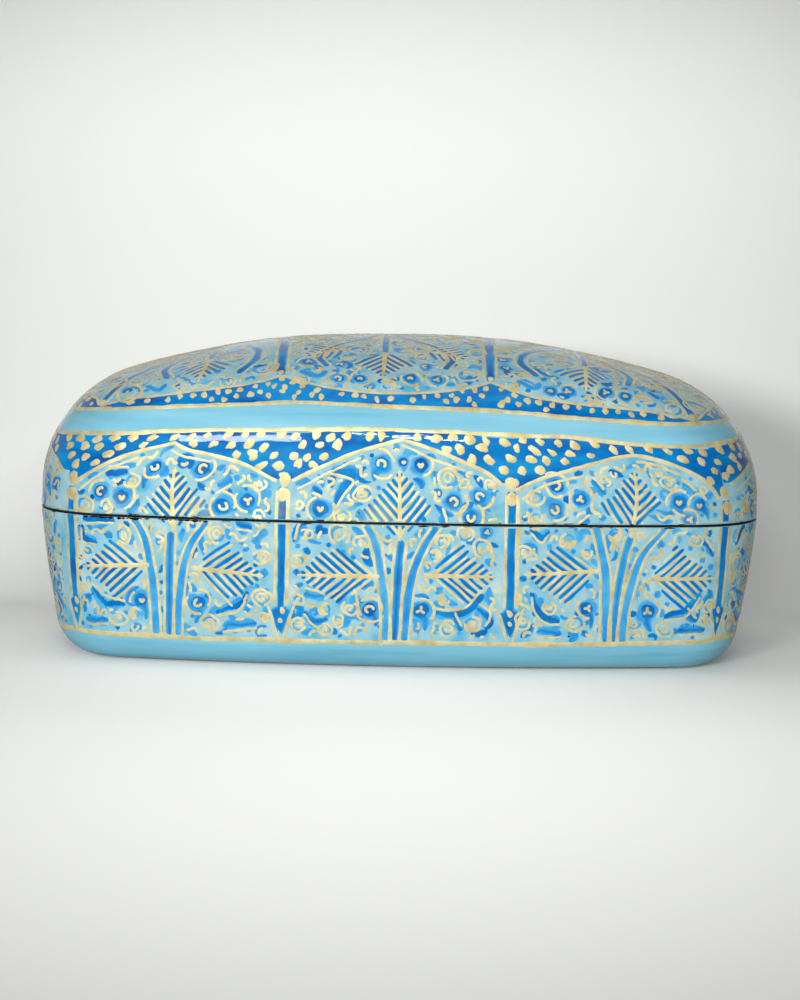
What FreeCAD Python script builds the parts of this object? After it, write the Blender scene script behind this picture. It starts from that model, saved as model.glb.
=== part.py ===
"""Oblong painted papier-mache box with a domed lift-off lid.

The frame has +X along the length, +Y towards the back and +Z up. Its origin is on the table,
under the middle of the box. All lengths are in millimetres and all angles in degrees.
"""

import FreeCAD
import Part
import math
import os

# Outside size
LENGTH = 229.0
WIDTH = 114.0
SEAM_HEIGHT = 47.5
LID_HEIGHT = 55.0

# Plan: an oval of eight tangent arcs, whose end arcs and side arcs meet the corner arcs at these angles
CORNER_RADIUS = 28.0
CORNER_START_ANGLE = 8.0
CORNER_END_ANGLE = 80.0

# Dome of the lid: one crown arc and one shoulder arc each way, tangent to each other and to the wall
CROWN_RADIUS_ACROSS = 100.0
END_SHOULDER_RADIUS = 38.5
SIDE_SHOULDER_RADIUS = 26.0

# Corner radius of the level outline at the crown, as a share of the outline's half width there
CROWN_CORNER_SHARE = 0.78

# Half width of the flat that the tissue pulled over the crown leaves at the very top
TOP_FLAT = 12.0

# Wall of the base, which leans in and bellies towards its rounded foot
FOOT_LEAN = 7.3
HALFWAY_LEAN_SHARE = 0.39
FOOT_RADIUS = 10.5

# Thickness of the base's pulp shell, and how much thinner the lid's is to slide freely over the collar
BASE_WALL = 3.9
LID_FIT = 0.3

# Paper strips on the sawn rims
EDGING_THICKNESS = 0.4
EDGING_SETBACK = 0.3

# Sheet pasted under the floor, which the box stands on
SOLE_THICKNESS = 0.5
SOLE_MARGIN = 2.5

# Locating collar: a bent card strip glued inside the base, standing up into the lid
COLLAR_THICKNESS = 1.6
GLUE_FILM = 0.1
COLLAR_GLUED_DEPTH = 13.0
COLLAR_STAND = 5.0
COLLAR_LEAD_HEIGHT = 1.5
COLLAR_LEAD_IN = 0.5
COLLAR_BUTT_GAP = 0.5
COLLAR_SCARF_RUN = 8.0

# How far the lid's ends stay upright past the top of the collar
END_WALL_MARGIN = 0.3

# Strips of the lid's curved faces, counted up the wall past the collar, round the shoulder and over the crown
LID_OUTSIDE_STRIPS = (2, 6, 5)
LID_INSIDE_STRIPS = (2, 4, 3)

# Strips round the base's foot
FOOT_OUTSIDE_STRIPS = 4
FOOT_INSIDE_STRIPS = 3

# How far a cutting solid runs past what it cuts
OVERRUN = 20.0


def oval(half_length, half_width, corner_radius, height):
    """Level closed wire of eight tangent arcs, which turn through the same angles at every size."""
    start = math.radians(CORNER_START_ANGLE)
    end = math.radians(CORNER_END_ANGLE)
    tilt = (1 - math.sin(end)) / math.cos(end)
    corner_rise = corner_radius * (math.sin(end) - math.sin(start))
    corner_run = corner_radius * (math.cos(start) - math.cos(end))
    spare = half_width - corner_rise - tilt * (half_length - corner_run)
    end_radius = spare / (math.sin(start) - tilt * (1 - math.cos(start)))
    side_radius = (half_length - end_radius * (1 - math.cos(start)) - corner_run) / math.cos(end)
    corner_x = half_length - end_radius + (end_radius - corner_radius) * math.cos(start)
    corner_y = (end_radius - corner_radius) * math.sin(start)
    back = math.pi / 2
    arcs = []
    for x_side, y_side, turned in ((1, 1, 0), (-1, 1, back), (-1, -1, 2 * back), (1, -1, 3 * back)):
        corner = (x_side * corner_x, y_side * corner_y, corner_radius)
        if x_side == y_side:
            flat = (x_side * (half_length - end_radius), 0, end_radius)
            arcs.append(level_arc(flat, turned - start, turned + start, height))
            arcs.append(level_arc(corner, turned + start, turned + end, height))
        else:
            flat = (0, y_side * (half_width - side_radius), side_radius)
            arcs.append(level_arc(flat, turned + end - back, turned + back - end, height))
            arcs.append(level_arc(corner, turned + back - end, turned + back - start, height))
    return Part.Wire(arcs)


def level_arc(circle, first, last, height):
    """Arc at a height between two angles, on a circle given as centre x, centre y and radius."""
    x, y, radius = circle
    centre = FreeCAD.Vector(x, y, height)
    return Part.Edge(Part.Circle(centre, FreeCAD.Vector(0, 0, 1), radius), first, last)


def rim_outline(inset, height):
    """Outline of both rims moved in by inset."""
    return oval(LENGTH / 2 - inset, WIDTH / 2 - inset, CORNER_RADIUS - inset, height)


def arc_levels(half, shoulder, crown, top):
    """Heights of the crown arc's centre, the shoulder arc's centre and the point where they meet."""
    rise = math.sqrt((crown - shoulder) ** 2 - (half - shoulder) ** 2)
    shoulder_centre = top - crown + rise
    return top - crown, shoulder_centre, shoulder_centre + shoulder * rise / (crown - shoulder)


def dome_reach(half, shoulder, crown, top, height):
    """Half size of the dome at a height, on one axis: upright wall, shoulder arc, then crown arc."""
    crown_centre, shoulder_centre, meeting = arc_levels(half, shoulder, crown, top)
    if height <= shoulder_centre:
        return half
    if height <= meeting:
        return half - shoulder + math.sqrt(shoulder**2 - (height - shoulder_centre) ** 2)
    return math.sqrt(crown**2 - (height - crown_centre) ** 2)


def crown_radius_along():
    """Radius of the crown arc that leaves the lid's ends upright past the top of the collar."""
    rise = LID_HEIGHT - COLLAR_STAND - END_WALL_MARGIN
    run = LENGTH / 2 - END_SHOULDER_RADIUS
    return (rise**2 + run**2 - END_SHOULDER_RADIUS**2) / (2 * (rise - END_SHOULDER_RADIUS))


def dome_heights(half, shoulder, crown, top, strips):
    """Heights over the seam of the dome's outlines, at even turns of its profile on one axis."""
    wall_strips, shoulder_strips, crown_strips = strips
    crown_centre, shoulder_centre, meeting = arc_levels(half, shoulder, crown, top)
    turn_at_meeting = math.asin((meeting - shoulder_centre) / shoulder)
    turn_at_flat = math.acos(TOP_FLAT / crown)
    end_wall = COLLAR_STAND + END_WALL_MARGIN
    heights = [EDGING_THICKNESS]
    for strip in range(wall_strips):
        heights.append(end_wall + (shoulder_centre - end_wall) * strip / wall_strips)
    for strip in range(shoulder_strips):
        heights.append(shoulder_centre + shoulder * math.sin(turn_at_meeting * strip / shoulder_strips))
    for strip in range(crown_strips + 1):
        turn = turn_at_meeting + (turn_at_flat - turn_at_meeting) * strip / crown_strips
        heights.append(crown_centre + crown * math.sin(turn))
    return heights


def dome_sections(inset, strips):
    """Level outlines of the lid's outer surface moved in by inset, from its rim up to the crown."""
    top = LID_HEIGHT - inset
    along = (LENGTH / 2 - inset, END_SHOULDER_RADIUS - inset, crown_radius_along() - inset, top)
    across = (WIDTH / 2 - inset, SIDE_SHOULDER_RADIUS - inset, CROWN_RADIUS_ACROSS - inset, top)
    rim_share = (CORNER_RADIUS - inset) / (WIDTH / 2 - inset)
    sections = []
    for height in dome_heights(*across, strips):
        half_width = dome_reach(*across, height)
        fall_share = (top - height) / (top - EDGING_THICKNESS)
        roundness = 1 - math.sin(fall_share * math.pi / 2)
        corner_radius = half_width * (rim_share + (CROWN_CORNER_SHARE - rim_share) * roundness)
        sections.append(oval(dome_reach(*along, height), half_width, corner_radius, SEAM_HEIGHT + height))
    return sections


def wall_lean(height):
    """How far the base's wall leans in at a height."""
    level_share = (height - SOLE_THICKNESS) / (SEAM_HEIGHT - SOLE_THICKNESS)
    power = math.log(HALFWAY_LEAN_SHARE) / math.log(0.5)
    return FOOT_LEAN * (1 - level_share) ** power


def tub_sections(inset, break_height, foot_strips):
    """Level outlines of the base's outer surface moved in by inset, from its rim down to its floor."""
    radius = FOOT_RADIUS - inset
    knee = SOLE_THICKNESS + FOOT_RADIUS
    sections = []
    for height in (SEAM_HEIGHT - EDGING_THICKNESS, break_height):
        sections.append(rim_outline(inset + wall_lean(height), height))
    for strip in range(foot_strips + 1):
        turn = math.pi / 2 * strip / foot_strips
        height = knee - radius * math.sin(turn)
        sections.append(rim_outline(inset + wall_lean(height) + radius * (1 - math.cos(turn)), height))
    return sections


def level_face(outer, inner):
    """Flat level face between two outlines."""
    return Part.makeFace([outer, inner], "Part::FaceMakerBullseye")


def closed_solid(faces):
    """Solid from the faces that close it, joined along their shared edges."""
    shape = Part.makeCompound(faces)
    shape.sewShape()
    return Part.makeSolid(shape.Shells[0])


def bowl_faces(sections):
    """Strips through a stack of outlines, and the flat face that closes the stack's far end."""
    return Part.makeLoft(sections, False, True).Faces + [Part.Face(sections[-1])]


def thin_wall(outer_sections, inner_sections):
    """Hollow shell between two stacks of outlines that start at the same level, which is its rim."""
    rim = level_face(outer_sections[0], inner_sections[0])
    return closed_solid(bowl_faces(outer_sections) + bowl_faces(inner_sections) + [rim])


def base_shell():
    """Pulp shell of the base, ending level under its rim's edging."""
    outside = tub_sections(0, SEAM_HEIGHT / 2, FOOT_OUTSIDE_STRIPS)
    return thin_wall(outside, tub_sections(BASE_WALL, SEAM_HEIGHT - COLLAR_GLUED_DEPTH, FOOT_INSIDE_STRIPS))


def lid_shell():
    """Pulp shell of the lid, ending level above its rim's edging."""
    outside = dome_sections(0, LID_OUTSIDE_STRIPS)
    return thin_wall(outside, dome_sections(BASE_WALL - LID_FIT, LID_INSIDE_STRIPS))


def prism(inset, low, high):
    """Upright solid inside the rim's outline moved in by inset, between two heights."""
    return Part.Face(rim_outline(inset, low)).extrude(FreeCAD.Vector(0, 0, high - low))


def rim_edging(wall, low):
    """Flat paper strip on a sawn rim."""
    high = low + EDGING_THICKNESS
    return prism(EDGING_SETBACK, low, high).cut(prism(wall, low, high))


def sole():
    """Flat sheet under the floor, inside the round of the foot."""
    return prism(FOOT_LEAN + FOOT_RADIUS + SOLE_MARGIN, 0, SOLE_THICKNESS)


def collar_sections(inset, tip_inset):
    """Outlines up one side of the collar, which follows the base's wall and then stands upright."""
    low = SEAM_HEIGHT - COLLAR_GLUED_DEPTH
    high = SEAM_HEIGHT + COLLAR_STAND
    return [
        rim_outline(inset + wall_lean(low), low),
        rim_outline(inset, SEAM_HEIGHT),
        rim_outline(inset, high - COLLAR_LEAD_HEIGHT),
        rim_outline(tip_inset, high),
    ]


def collar():
    """Card strip on the base's inner wall that stands up into the lid, with a scarfed butt at the back."""
    outer_inset = BASE_WALL + GLUE_FILM
    inner_inset = outer_inset + COLLAR_THICKNESS
    outer = collar_sections(outer_inset, outer_inset + COLLAR_LEAD_IN)
    inner = collar_sections(inner_inset, inner_inset)
    sides = Part.makeLoft(outer, False, True).Faces + Part.makeLoft(inner, False, True).Faces
    ends = [level_face(outer[0], inner[0]), level_face(outer[-1], inner[-1])]
    return closed_solid(sides + ends).cut(butt_cut())


def butt_cut():
    """Slanting cut through the back of the collar, where the strip's two ends meet."""
    low = SEAM_HEIGHT - COLLAR_GLUED_DEPTH - OVERRUN
    high = SEAM_HEIGHT + COLLAR_STAND + OVERRUN
    slope = COLLAR_SCARF_RUN / (COLLAR_GLUED_DEPTH + COLLAR_STAND)
    half_run = slope * (high - low) / 2
    half_gap = COLLAR_BUTT_GAP / 2
    corners = (
        (-half_run - half_gap, low),
        (-half_run + half_gap, low),
        (half_run + half_gap, high),
        (half_run - half_gap, high),
    )
    points = [FreeCAD.Vector(x, 0, z) for x, z in corners]
    face = Part.Face(Part.makePolygon(points + points[:1]))
    return face.extrude(FreeCAD.Vector(0, WIDTH, 0))


def export(name, shape):
    """Writes one sub-part's solids to its own STEP file."""
    shape.exportStep(os.path.join("parts", name + ".step"))
    print(name, "solids", len(shape.Solids), "volume", round(shape.Volume, 1), "valid", shape.isValid())


def main():
    os.makedirs("parts", exist_ok=True)
    export("base_shell", base_shell())
    export("base_rim_edging", rim_edging(BASE_WALL, SEAM_HEIGHT - EDGING_THICKNESS))
    export("base_sole", sole())
    export("collar", collar())
    export("lid_shell", lid_shell())
    export("lid_rim_edging", rim_edging(BASE_WALL - LID_FIT, SEAM_HEIGHT))


main()
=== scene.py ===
"""Painted looks of the papier mache box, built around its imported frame.

The painting is laid out in millimetres on the box's own skin: x runs round the box from the middle
of the front, to the right, and w runs up the skin from the seam, below which it is negative.
"""

import math

import bpy
import numpy as np
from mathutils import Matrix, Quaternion, Vector


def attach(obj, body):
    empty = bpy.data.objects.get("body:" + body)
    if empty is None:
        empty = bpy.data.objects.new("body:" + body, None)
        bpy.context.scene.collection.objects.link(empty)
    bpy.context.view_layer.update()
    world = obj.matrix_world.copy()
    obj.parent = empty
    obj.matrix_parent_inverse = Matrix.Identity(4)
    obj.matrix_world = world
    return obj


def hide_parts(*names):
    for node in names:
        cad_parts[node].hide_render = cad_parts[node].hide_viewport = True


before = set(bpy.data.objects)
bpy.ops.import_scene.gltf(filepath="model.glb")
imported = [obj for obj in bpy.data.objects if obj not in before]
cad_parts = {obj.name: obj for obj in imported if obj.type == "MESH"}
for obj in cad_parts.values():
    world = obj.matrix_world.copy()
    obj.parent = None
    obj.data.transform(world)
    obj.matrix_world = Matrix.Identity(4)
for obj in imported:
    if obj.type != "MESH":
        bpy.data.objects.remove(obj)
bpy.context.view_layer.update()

MM = 0.001

# Form, as in the part's source
LENGTH, WIDTH, SEAM, LID = 229.0, 114.0, 47.5, 55.0
CORNER, CROWN_SHARE = 28.0, 0.78
END_SHOULDER, SIDE_SHOULDER, CROWN_ACROSS = 38.5, 26.0, 100.0
END_WALL = 5.3
FOOT_LEAN, HALF_LEAN, FOOT_RADIUS, SOLE = 7.3, 0.39, 10.5, 0.5
EDGING, BASE_WALL, LID_WALL = 0.4, 3.8, 3.5
END_RISE, END_RUN = LID - END_WALL, LENGTH / 2 - END_SHOULDER
CROWN_ALONG = (END_RISE**2 + END_RUN**2 - END_SHOULDER**2) / (2 * (END_RISE - END_SHOULDER))
# Turns between which an outline's corner arc runs
FIRST, LAST = math.radians(8), math.radians(80)
TILT = (1 - math.sin(LAST)) / math.cos(LAST)

# How far the painted skin lies inside the part's outside, how unevenly the pulp was laid up, and
# half the length of the ridge
SKIN, UNEVEN, RIDGE = 0.2, 0.22, 57.0

# Where the crown starts to sink under the tissue pulled over it, and how fast
SINK_START, SINK = 51.5, 0.064

# Columns and rows of the skin's grid: lid wall, lid band, lid top; base wall, foot, floor
COLUMNS = 640
LID_ROWS, BASE_ROWS = (28, 8, 54), (38, 18, 12)
LOW_ROW, HIGH_ROW = LID_ROWS[0], LID_ROWS[0] + LID_ROWS[1]


def oval_arcs(a, b, r):
    """End radius, side radius and the corner arc's centre of an oval of eight tangent arcs."""
    corner_run = r * (math.cos(FIRST) - math.cos(LAST))
    spare = b - r * (math.sin(LAST) - math.sin(FIRST)) - TILT * (a - corner_run)
    end = spare / (math.sin(FIRST) - TILT * (1 - math.cos(FIRST)))
    side = (a - end * (1 - math.cos(FIRST)) - corner_run) / math.cos(LAST)
    return end, side, a - end + (end - r) * math.cos(FIRST), (end - r) * math.sin(FIRST)


def oval_at(a, b, r, turn):
    """Points of the oval whose outward side faces each turn."""
    end, side, cx, cy = oval_arcs(a, b, r)
    c, s = np.abs(np.cos(turn)), np.abs(np.sin(turn))
    lean = np.arctan2(s, c)
    px = np.where(lean < FIRST, a - end + end * c, np.where(lean > LAST, side * c, cx + r * c))
    py = np.where(lean < FIRST, end * s, np.where(lean > LAST, b - side + side * s, cy + r * s))
    return px * np.sign(np.cos(turn)), py * np.sign(np.sin(turn))


def oval_gap(a, b, r, px, py):
    """Distance of points outside the oval, negative inside it."""
    end, side, cx, cy = oval_arcs(a, b, r)
    px, py = np.abs(px), np.abs(py)
    by_end = np.hypot(px - a + end, py) - end
    by_side = np.hypot(px, py - b + side) - side
    by_corner = np.hypot(px - cx, py - cy) - r
    at_end = np.arctan2(py, px - a + end) < FIRST
    at_side = np.arctan2(py - b + side, px) > LAST
    return np.where(at_end, by_end, np.where(at_side, by_side, by_corner))


def reach(half, shoulder, crown, top, h):
    """Half size of the dome at height h over the seam: wall, shoulder arc, crown arc."""
    rise = math.sqrt((crown - shoulder) ** 2 - (half - shoulder) ** 2)
    centre = top - crown + rise
    meeting = centre + shoulder * rise / (crown - shoulder)
    rounded = half - shoulder + np.sqrt(np.maximum(shoulder**2 - (h - centre) ** 2, 0))
    over = np.sqrt(np.maximum(crown**2 - (h - top + crown) ** 2, 1e-6))
    return np.where(h <= centre, half, np.where(h <= meeting, rounded, over))


def dome(h, inset):
    """Half length, half width and corner radius of the lid's outline at height h over the seam."""
    top = LID - inset
    a = reach(LENGTH / 2 - inset, END_SHOULDER - inset, CROWN_ALONG - inset, top, h)
    b = reach(WIDTH / 2 - inset, SIDE_SHOULDER - inset, CROWN_ACROSS - inset, top, h)
    share = (CORNER - inset) / (WIDTH / 2 - inset)
    fall = np.clip((top - h) / (top - EDGING), 0, 1)
    return a, b, b * (share + (CROWN_SHARE - share) * (1 - np.sin(fall * math.pi / 2)))


def dome_height(px, py, inset):
    """Height over the seam of the dome above points of the plan."""
    low, high = np.zeros_like(px), np.full_like(px, LID - inset)
    for _ in range(34):
        middle = (low + high) / 2
        inside = oval_gap(*dome(middle, inset), px, py) < 0
        low, high = np.where(inside, middle, low), np.where(inside, high, middle)
    return (low + high) / 2


def settle(h):
    """The crown sinks a little where the tissue is pulled over it."""
    return h - SINK * np.maximum(h - SINK_START, 0) ** 2


def tub(z, inset):
    """Half length, half width and corner radius of the base's outline at height z."""
    share = np.clip((z - SOLE) / (SEAM - SOLE), 0, 1)
    inset = inset + FOOT_LEAN * (1 - share) ** (math.log(HALF_LEAN) / math.log(0.5))
    return LENGTH / 2 - inset, WIDTH / 2 - inset, CORNER - inset


# Which way the rim faces at each station round it, from the middle of the front
RIM_END, RIM_SIDE, _, _ = oval_arcs(LENGTH / 2, WIDTH / 2, CORNER)
FACING = np.radians([-90, -80, -8, 8, 80, 100, 172, 188, 260, 270])
RADII = np.array([RIM_SIDE, CORNER, RIM_END, CORNER, RIM_SIDE, CORNER, RIM_END, CORNER, RIM_SIDE])
STATIONS = np.concatenate([[0], np.cumsum(np.diff(FACING) * RADII)])
AROUND = STATIONS[-1]
BACK = AROUND / 2


def around_line(knots, softness=61):
    """Height of a painted line round the box, rounded through knots of x and height."""
    at = np.mod([k[0] for k in knots], AROUND)
    order = np.argsort(at)
    at, heights = at[order], np.array([k[1] for k in knots], float)[order]
    fine = np.linspace(-BACK, AROUND + BACK, 2401)
    values = np.interp(fine, np.concatenate([at - AROUND, at, at + AROUND]), np.tile(heights, 3))
    if softness:
        kernel = np.hanning(softness)
        values = np.convolve(values, kernel / kernel.sum(), "same")
    return lambda x: np.interp(np.mod(x, AROUND), fine, values)


# Heights over the seam of the lid band's two gold lines, and depth under it of the base's
band_low = around_line([
    (-160, 25), (-123, 22.9), (-103, 25.2), (-78, 26.6), (-50, 27.8), (-14, 28.8), (10, 28.4), (44, 27.7),
    (58, 27.3), (80, 25.0), (97, 24.2), (120, 25.6), (160, 26), (200, 25), (BACK - 40, 27.5),
    (BACK, 28.4), (BACK + 40, 27.3), (405, 25.5),
])
band_high = around_line([
    (-160, 31), (-121, 30.4), (-109, 32.0), (-81, 34.3), (-40, 36.4), (-15, 35.8), (10, 35.4), (38, 34.9),
    (62, 33.0), (86, 31.8), (103, 31.1), (128, 31.0), (160, 31.5), (200, 32), (BACK - 40, 34.8),
    (BACK, 35.6), (BACK + 40, 34.6), (405, 32),
])
foot_line = around_line([
    (-160, 37), (-108, 37.9), (-66, 38.4), (-36, 38.3), (7, 38.1), (64, 38.0), (98, 37.3), (115, 36.8),
    (160, 36.8), (BACK, 38.0),
])

xs = np.arange(COLUMNS) * AROUND / COLUMNS
turns = np.interp(xs, STATIONS, FACING)


def lengths_along(points):
    """Distances along each column of points."""
    steps = np.linalg.norm(np.diff(points, axis=1), axis=2)
    return np.concatenate([np.zeros((len(points), 1)), np.cumsum(steps, axis=1)], axis=1)


def spaced(points, lengths, wanted):
    """Points at wanted distances along each column."""
    out = np.empty((len(points), wanted.shape[1], 3))
    for i in range(len(points)):
        for k in range(3):
            out[i, :, k] = np.interp(wanted[i], lengths[i], points[i, :, k])
    return out


def even(start, end, count, last=False):
    """Even steps from start to end in each column, the last one too if asked."""
    share = np.linspace(0, 1, count + 1)[None, : count + 1 if last else count]
    return start[:, None] + (end - start)[:, None] * share


def lid_grid(inset, rows):
    """Columns of points up the lid, from its rim to its ridge, and each point's w."""
    heights = np.array([np.linspace(EDGING, s, 260) for s in band_high(xs)])
    px, py = oval_at(*dome(heights, inset), turns[:, None])
    wall = np.stack([px, py, SEAM + heights], axis=2)
    wall_w = lengths_along(wall) + EDGING
    low_w = np.array([np.interp(band_low(x), h, w) for x, h, w in zip(xs, heights, wall_w)])
    high_w = wall_w[:, -1]
    foot = wall[:, -1, :2]
    ridge = np.stack([np.clip(foot[:, 0], -RIDGE, RIDGE), np.zeros(COLUMNS)], axis=1)
    q = np.linspace(0, 1, 150)[None, :, None]
    plan = foot[:, None, :] * (1 - q) + ridge[:, None, :] * q
    rise = settle(dome_height(plan[..., 0], plan[..., 1], inset))
    top = np.concatenate([plan, (SEAM + rise)[..., None]], axis=2)
    top_w = lengths_along(top) + high_w[:, None]
    parts = [
        even(np.full(COLUMNS, EDGING), low_w, rows[0]),
        even(low_w, high_w, rows[1]),
        even(high_w, top_w[:, -1], rows[2], True),
    ]
    wanted = np.concatenate(parts, axis=1)
    every = np.concatenate([wall, top[:, 1:]], axis=1)
    every_w = np.concatenate([wall_w, top_w[:, 1:]], axis=1)
    return spaced(every, every_w, wanted), wanted


def base_grid(inset, rows):
    """Columns of points down the base, from its rim to the middle of its floor, and each one's w."""
    knee, radius = SOLE + FOOT_RADIUS, FOOT_RADIUS - inset
    dip = np.linspace(0, math.pi / 2, 60)[1:]
    z = np.concatenate([np.linspace(SEAM - EDGING, knee, 200), knee - radius * np.sin(dip)])
    rounding = np.concatenate([np.zeros(200), radius * (1 - np.cos(dip))])
    a, b, r = tub(z, inset + rounding)
    px, py = oval_at(a[None, :], b[None, :], r[None, :], turns[:, None])
    wall = np.stack([px, py, np.broadcast_to(z, px.shape)], axis=2)
    foot = wall[:, -1, :2]
    middle = np.stack([np.clip(foot[:, 0], -RIDGE, RIDGE), np.zeros(COLUMNS)], axis=1)
    q = np.linspace(0, 1, 60)[None, 1:, None]
    plan = foot[:, None, :] * (1 - q) + middle[:, None, :] * q
    floor = np.concatenate([plan, np.full(plan.shape[:2] + (1,), z[-1])], axis=2)
    every = np.concatenate([wall, floor], axis=1)
    every_w = -EDGING - lengths_along(every)
    edge_w = every_w[:, len(z) - 1]
    parts = [
        even(np.full(COLUMNS, -EDGING), -foot_line(xs), rows[0]),
        even(-foot_line(xs), edge_w, rows[1]),
        even(edge_w, every_w[:, -1], rows[2], True),
    ]
    wanted = np.concatenate(parts, axis=1)
    return spaced(every, -every_w, -wanted), wanted


def grid_normals(points, outward):
    """Outward normals at the points of a grid."""
    across = np.roll(points, -1, axis=0) - np.roll(points, 1, axis=0)
    normal = np.cross(across, np.gradient(points, axis=1)) * outward
    size = np.linalg.norm(normal, axis=2, keepdims=True)
    normal = np.where(size < 1e-6, (0, 0, outward), normal / np.maximum(size, 1e-9))
    normal[:, -1] = normal[:, -2]
    return normal


def waves(seed, count, span):
    """Seeded waves whose sum wanders smoothly over 0 to 1 and closes on itself."""
    draw = np.random.default_rng(seed)
    size = draw.uniform(0.3, 1, count) / math.sqrt(count)
    return list(zip(draw.integers(1, span, count), draw.uniform(0, 6.3, count), size))


def wander(some_waves, share):
    """Sum of waves at a share of the way round."""
    return sum(size * np.sin(2 * math.pi * n * share + phase) for n, phase, size in some_waves)


class Skin:
    """A painted outside: points, outward normals and w of a grid that goes round the box."""

    def __init__(self, grid, w, outward, seed, fade):
        self.rows = grid.shape[1]
        self.w, self.up = w, outward
        rows = np.linspace(0, 1, self.rows)[None, :]
        columns = (np.arange(COLUMNS) / COLUMNS)[:, None]
        sway = wander(waves(seed, 7, 12), columns + 0.15 * rows)
        sway = sway + 0.8 * wander(waves(seed + 1, 5, 7), rows + 0.3 * np.sin(2 * math.pi * columns))
        dent = UNEVEN * np.clip(0.5 + 0.35 * sway, 0, 1) * fade(rows)
        self.points = grid - grid_normals(grid, outward) * dent[..., None]
        self.normals = grid_normals(self.points, outward)

    def at(self, x, w):
        """Points and normals at places of the painting."""
        column = np.mod(x, AROUND) / AROUND * COLUMNS
        i = np.floor(column).astype(int) % COLUMNS
        f = (column - np.floor(column))[:, None]
        n = (i + 1) % COLUMNS
        lines = (self.w[i] * (1 - f) + self.w[n] * f) * self.up
        ahead = w * self.up
        j = np.clip((lines <= ahead[:, None]).sum(axis=1) - 1, 0, self.rows - 2)
        k = np.arange(len(column))
        g = (ahead - lines[k, j]) / np.maximum(lines[k, j + 1] - lines[k, j], 1e-9)
        g = np.clip(g, 0, 1)[:, None]
        out = []
        for table in (self.points, self.normals):
            below = table[i, j] * (1 - f) + table[n, j] * f
            above = table[i, j + 1] * (1 - f) + table[n, j + 1] * f
            out.append(below * (1 - g) + above * g)
        out[1] /= np.maximum(np.linalg.norm(out[1], axis=1), 1e-9)[:, None]
        return out


def lid_fade(s):
    """How uneven the lid is at a share of the way up: not at its rim, and less at its ridge."""
    return np.clip(s * 30, 0, 1) * np.clip((1 - s) * 12, 0.4, 1)


def base_fade(s):
    """How uneven the base is at a share of the way down: not at its rim, nor on its floor."""
    return np.clip(s * 30, 0, 1) * np.clip((0.74 - s) * 12, 0, 1)


lid_skin = Skin(*lid_grid(SKIN, LID_ROWS), 1.0, 11, lid_fade)
base_skin = Skin(*base_grid(SKIN, BASE_ROWS), -1.0, 23, base_fade)


def row_line(row):
    """w of one row of the lid's grid, round the box."""
    values = np.append(lid_skin.w[:, row], lid_skin.w[0, row])
    return lambda x: np.interp(np.mod(x, AROUND), np.append(xs, AROUND), values)


low_w, high_w, ridge_w = row_line(LOW_ROW), row_line(HIGH_ROW), row_line(-1)


def plain(line, x):
    """One value of a line round the box."""
    return float(line(np.array([x]))[0])


def new_mesh(name, points, faces, materials, normals=None, indices=None, bodies=None):
    """Piece from points in millimetres; bodies is how much paint lies at each point."""
    mesh = bpy.data.meshes.new(name)
    mesh.from_pydata([tuple(p) for p in (np.asarray(points) * MM).tolist()], [], faces)
    for material in materials:
        mesh.materials.append(material)
    if indices is not None:
        mesh.polygons.foreach_set("material_index", np.asarray(indices, np.int32))
    if bodies is not None:
        body = mesh.attributes.new("body", "FLOAT", "POINT")
        body.data.foreach_set("value", np.asarray(bodies, np.float32))
    mesh.polygons.foreach_set("use_smooth", np.ones(len(mesh.polygons), bool))
    mesh.update()
    if normals is not None:
        mesh.normals_split_custom_set_from_vertices([tuple(n) for n in np.asarray(normals).tolist()])
    piece = bpy.data.objects.new(name, mesh)
    bpy.context.scene.collection.objects.link(piece)
    return piece


def shell(name, skin, inner, materials, zones, turned):
    """Closed shell from a painted skin and a plain inside, joined across the rim."""
    step = COLUMNS // inner.shape[0]
    points, faces, indices = [], [], []

    def number(grid):
        """Vertex numbers of a grid whose last row lies on the ridge, where both sides share points."""
        columns, count = grid.shape[:2]
        numbers = np.empty((columns, count), int)
        numbers[:, :-1] = len(points) + np.arange(columns * (count - 1)).reshape(columns, count - 1)
        points.extend(grid[:, :-1].reshape(-1, 3).tolist())
        found = {}
        for i in range(columns):
            key = round(float(grid[i, -1, 0]) * 4)
            if key not in found:
                found[key] = len(points)
                points.append([float(grid[i, -1, 0]), 0.0, float(grid[i, -1, 2])])
            numbers[i, -1] = found[key]
        return numbers

    def strips(numbers, flip, zone):
        columns, count = numbers.shape
        for i in range(columns):
            n = (i + 1) % columns
            for j in range(count - 1):
                face = [numbers[i, j], numbers[n, j], numbers[n, j + 1], numbers[i, j + 1]]
                face = [int(v) for k, v in enumerate(face) if v not in face[:k]]
                if len(face) > 2:
                    faces.append(face[::-1] if flip else face)
                    indices.append(zone(j))

    outer_numbers, inner_numbers = number(skin.points), number(inner)
    strips(outer_numbers, turned, zones)
    strips(inner_numbers, not turned, lambda j: len(materials) - 1)
    for i in range(inner.shape[0]):
        n = (i + 1) % inner.shape[0]
        edge = [int(outer_numbers[(i * step + s) % COLUMNS, 0]) for s in range(step + 1)]
        face = edge[::-1] + [int(inner_numbers[i, 0]), int(inner_numbers[n, 0])]
        faces.append(face[::-1] if turned else face)
        indices.append(len(materials) - 1)
    return new_mesh(name, points, faces, materials, indices=indices)


# Gold lies crisp on the ground: places across a stroke, and how high each stands in lifts
CRISP = ((-1.0, None), (-0.8, 1.0), (0.0, 1.2), (0.8, 1.0), (1.0, None))
# Blue runs out softly: places across a stroke, and how much paint lies there
SOFT = ((-1.0, 0.0), (-0.62, 0.75), (0.0, 1.0), (0.62, 0.75), (1.0, 0.0))
# How high full paint stands over the ground, in millimetres
LIFTS = {"blue": 0.05, "gold": 0.07, "chip": 0.06}
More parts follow.
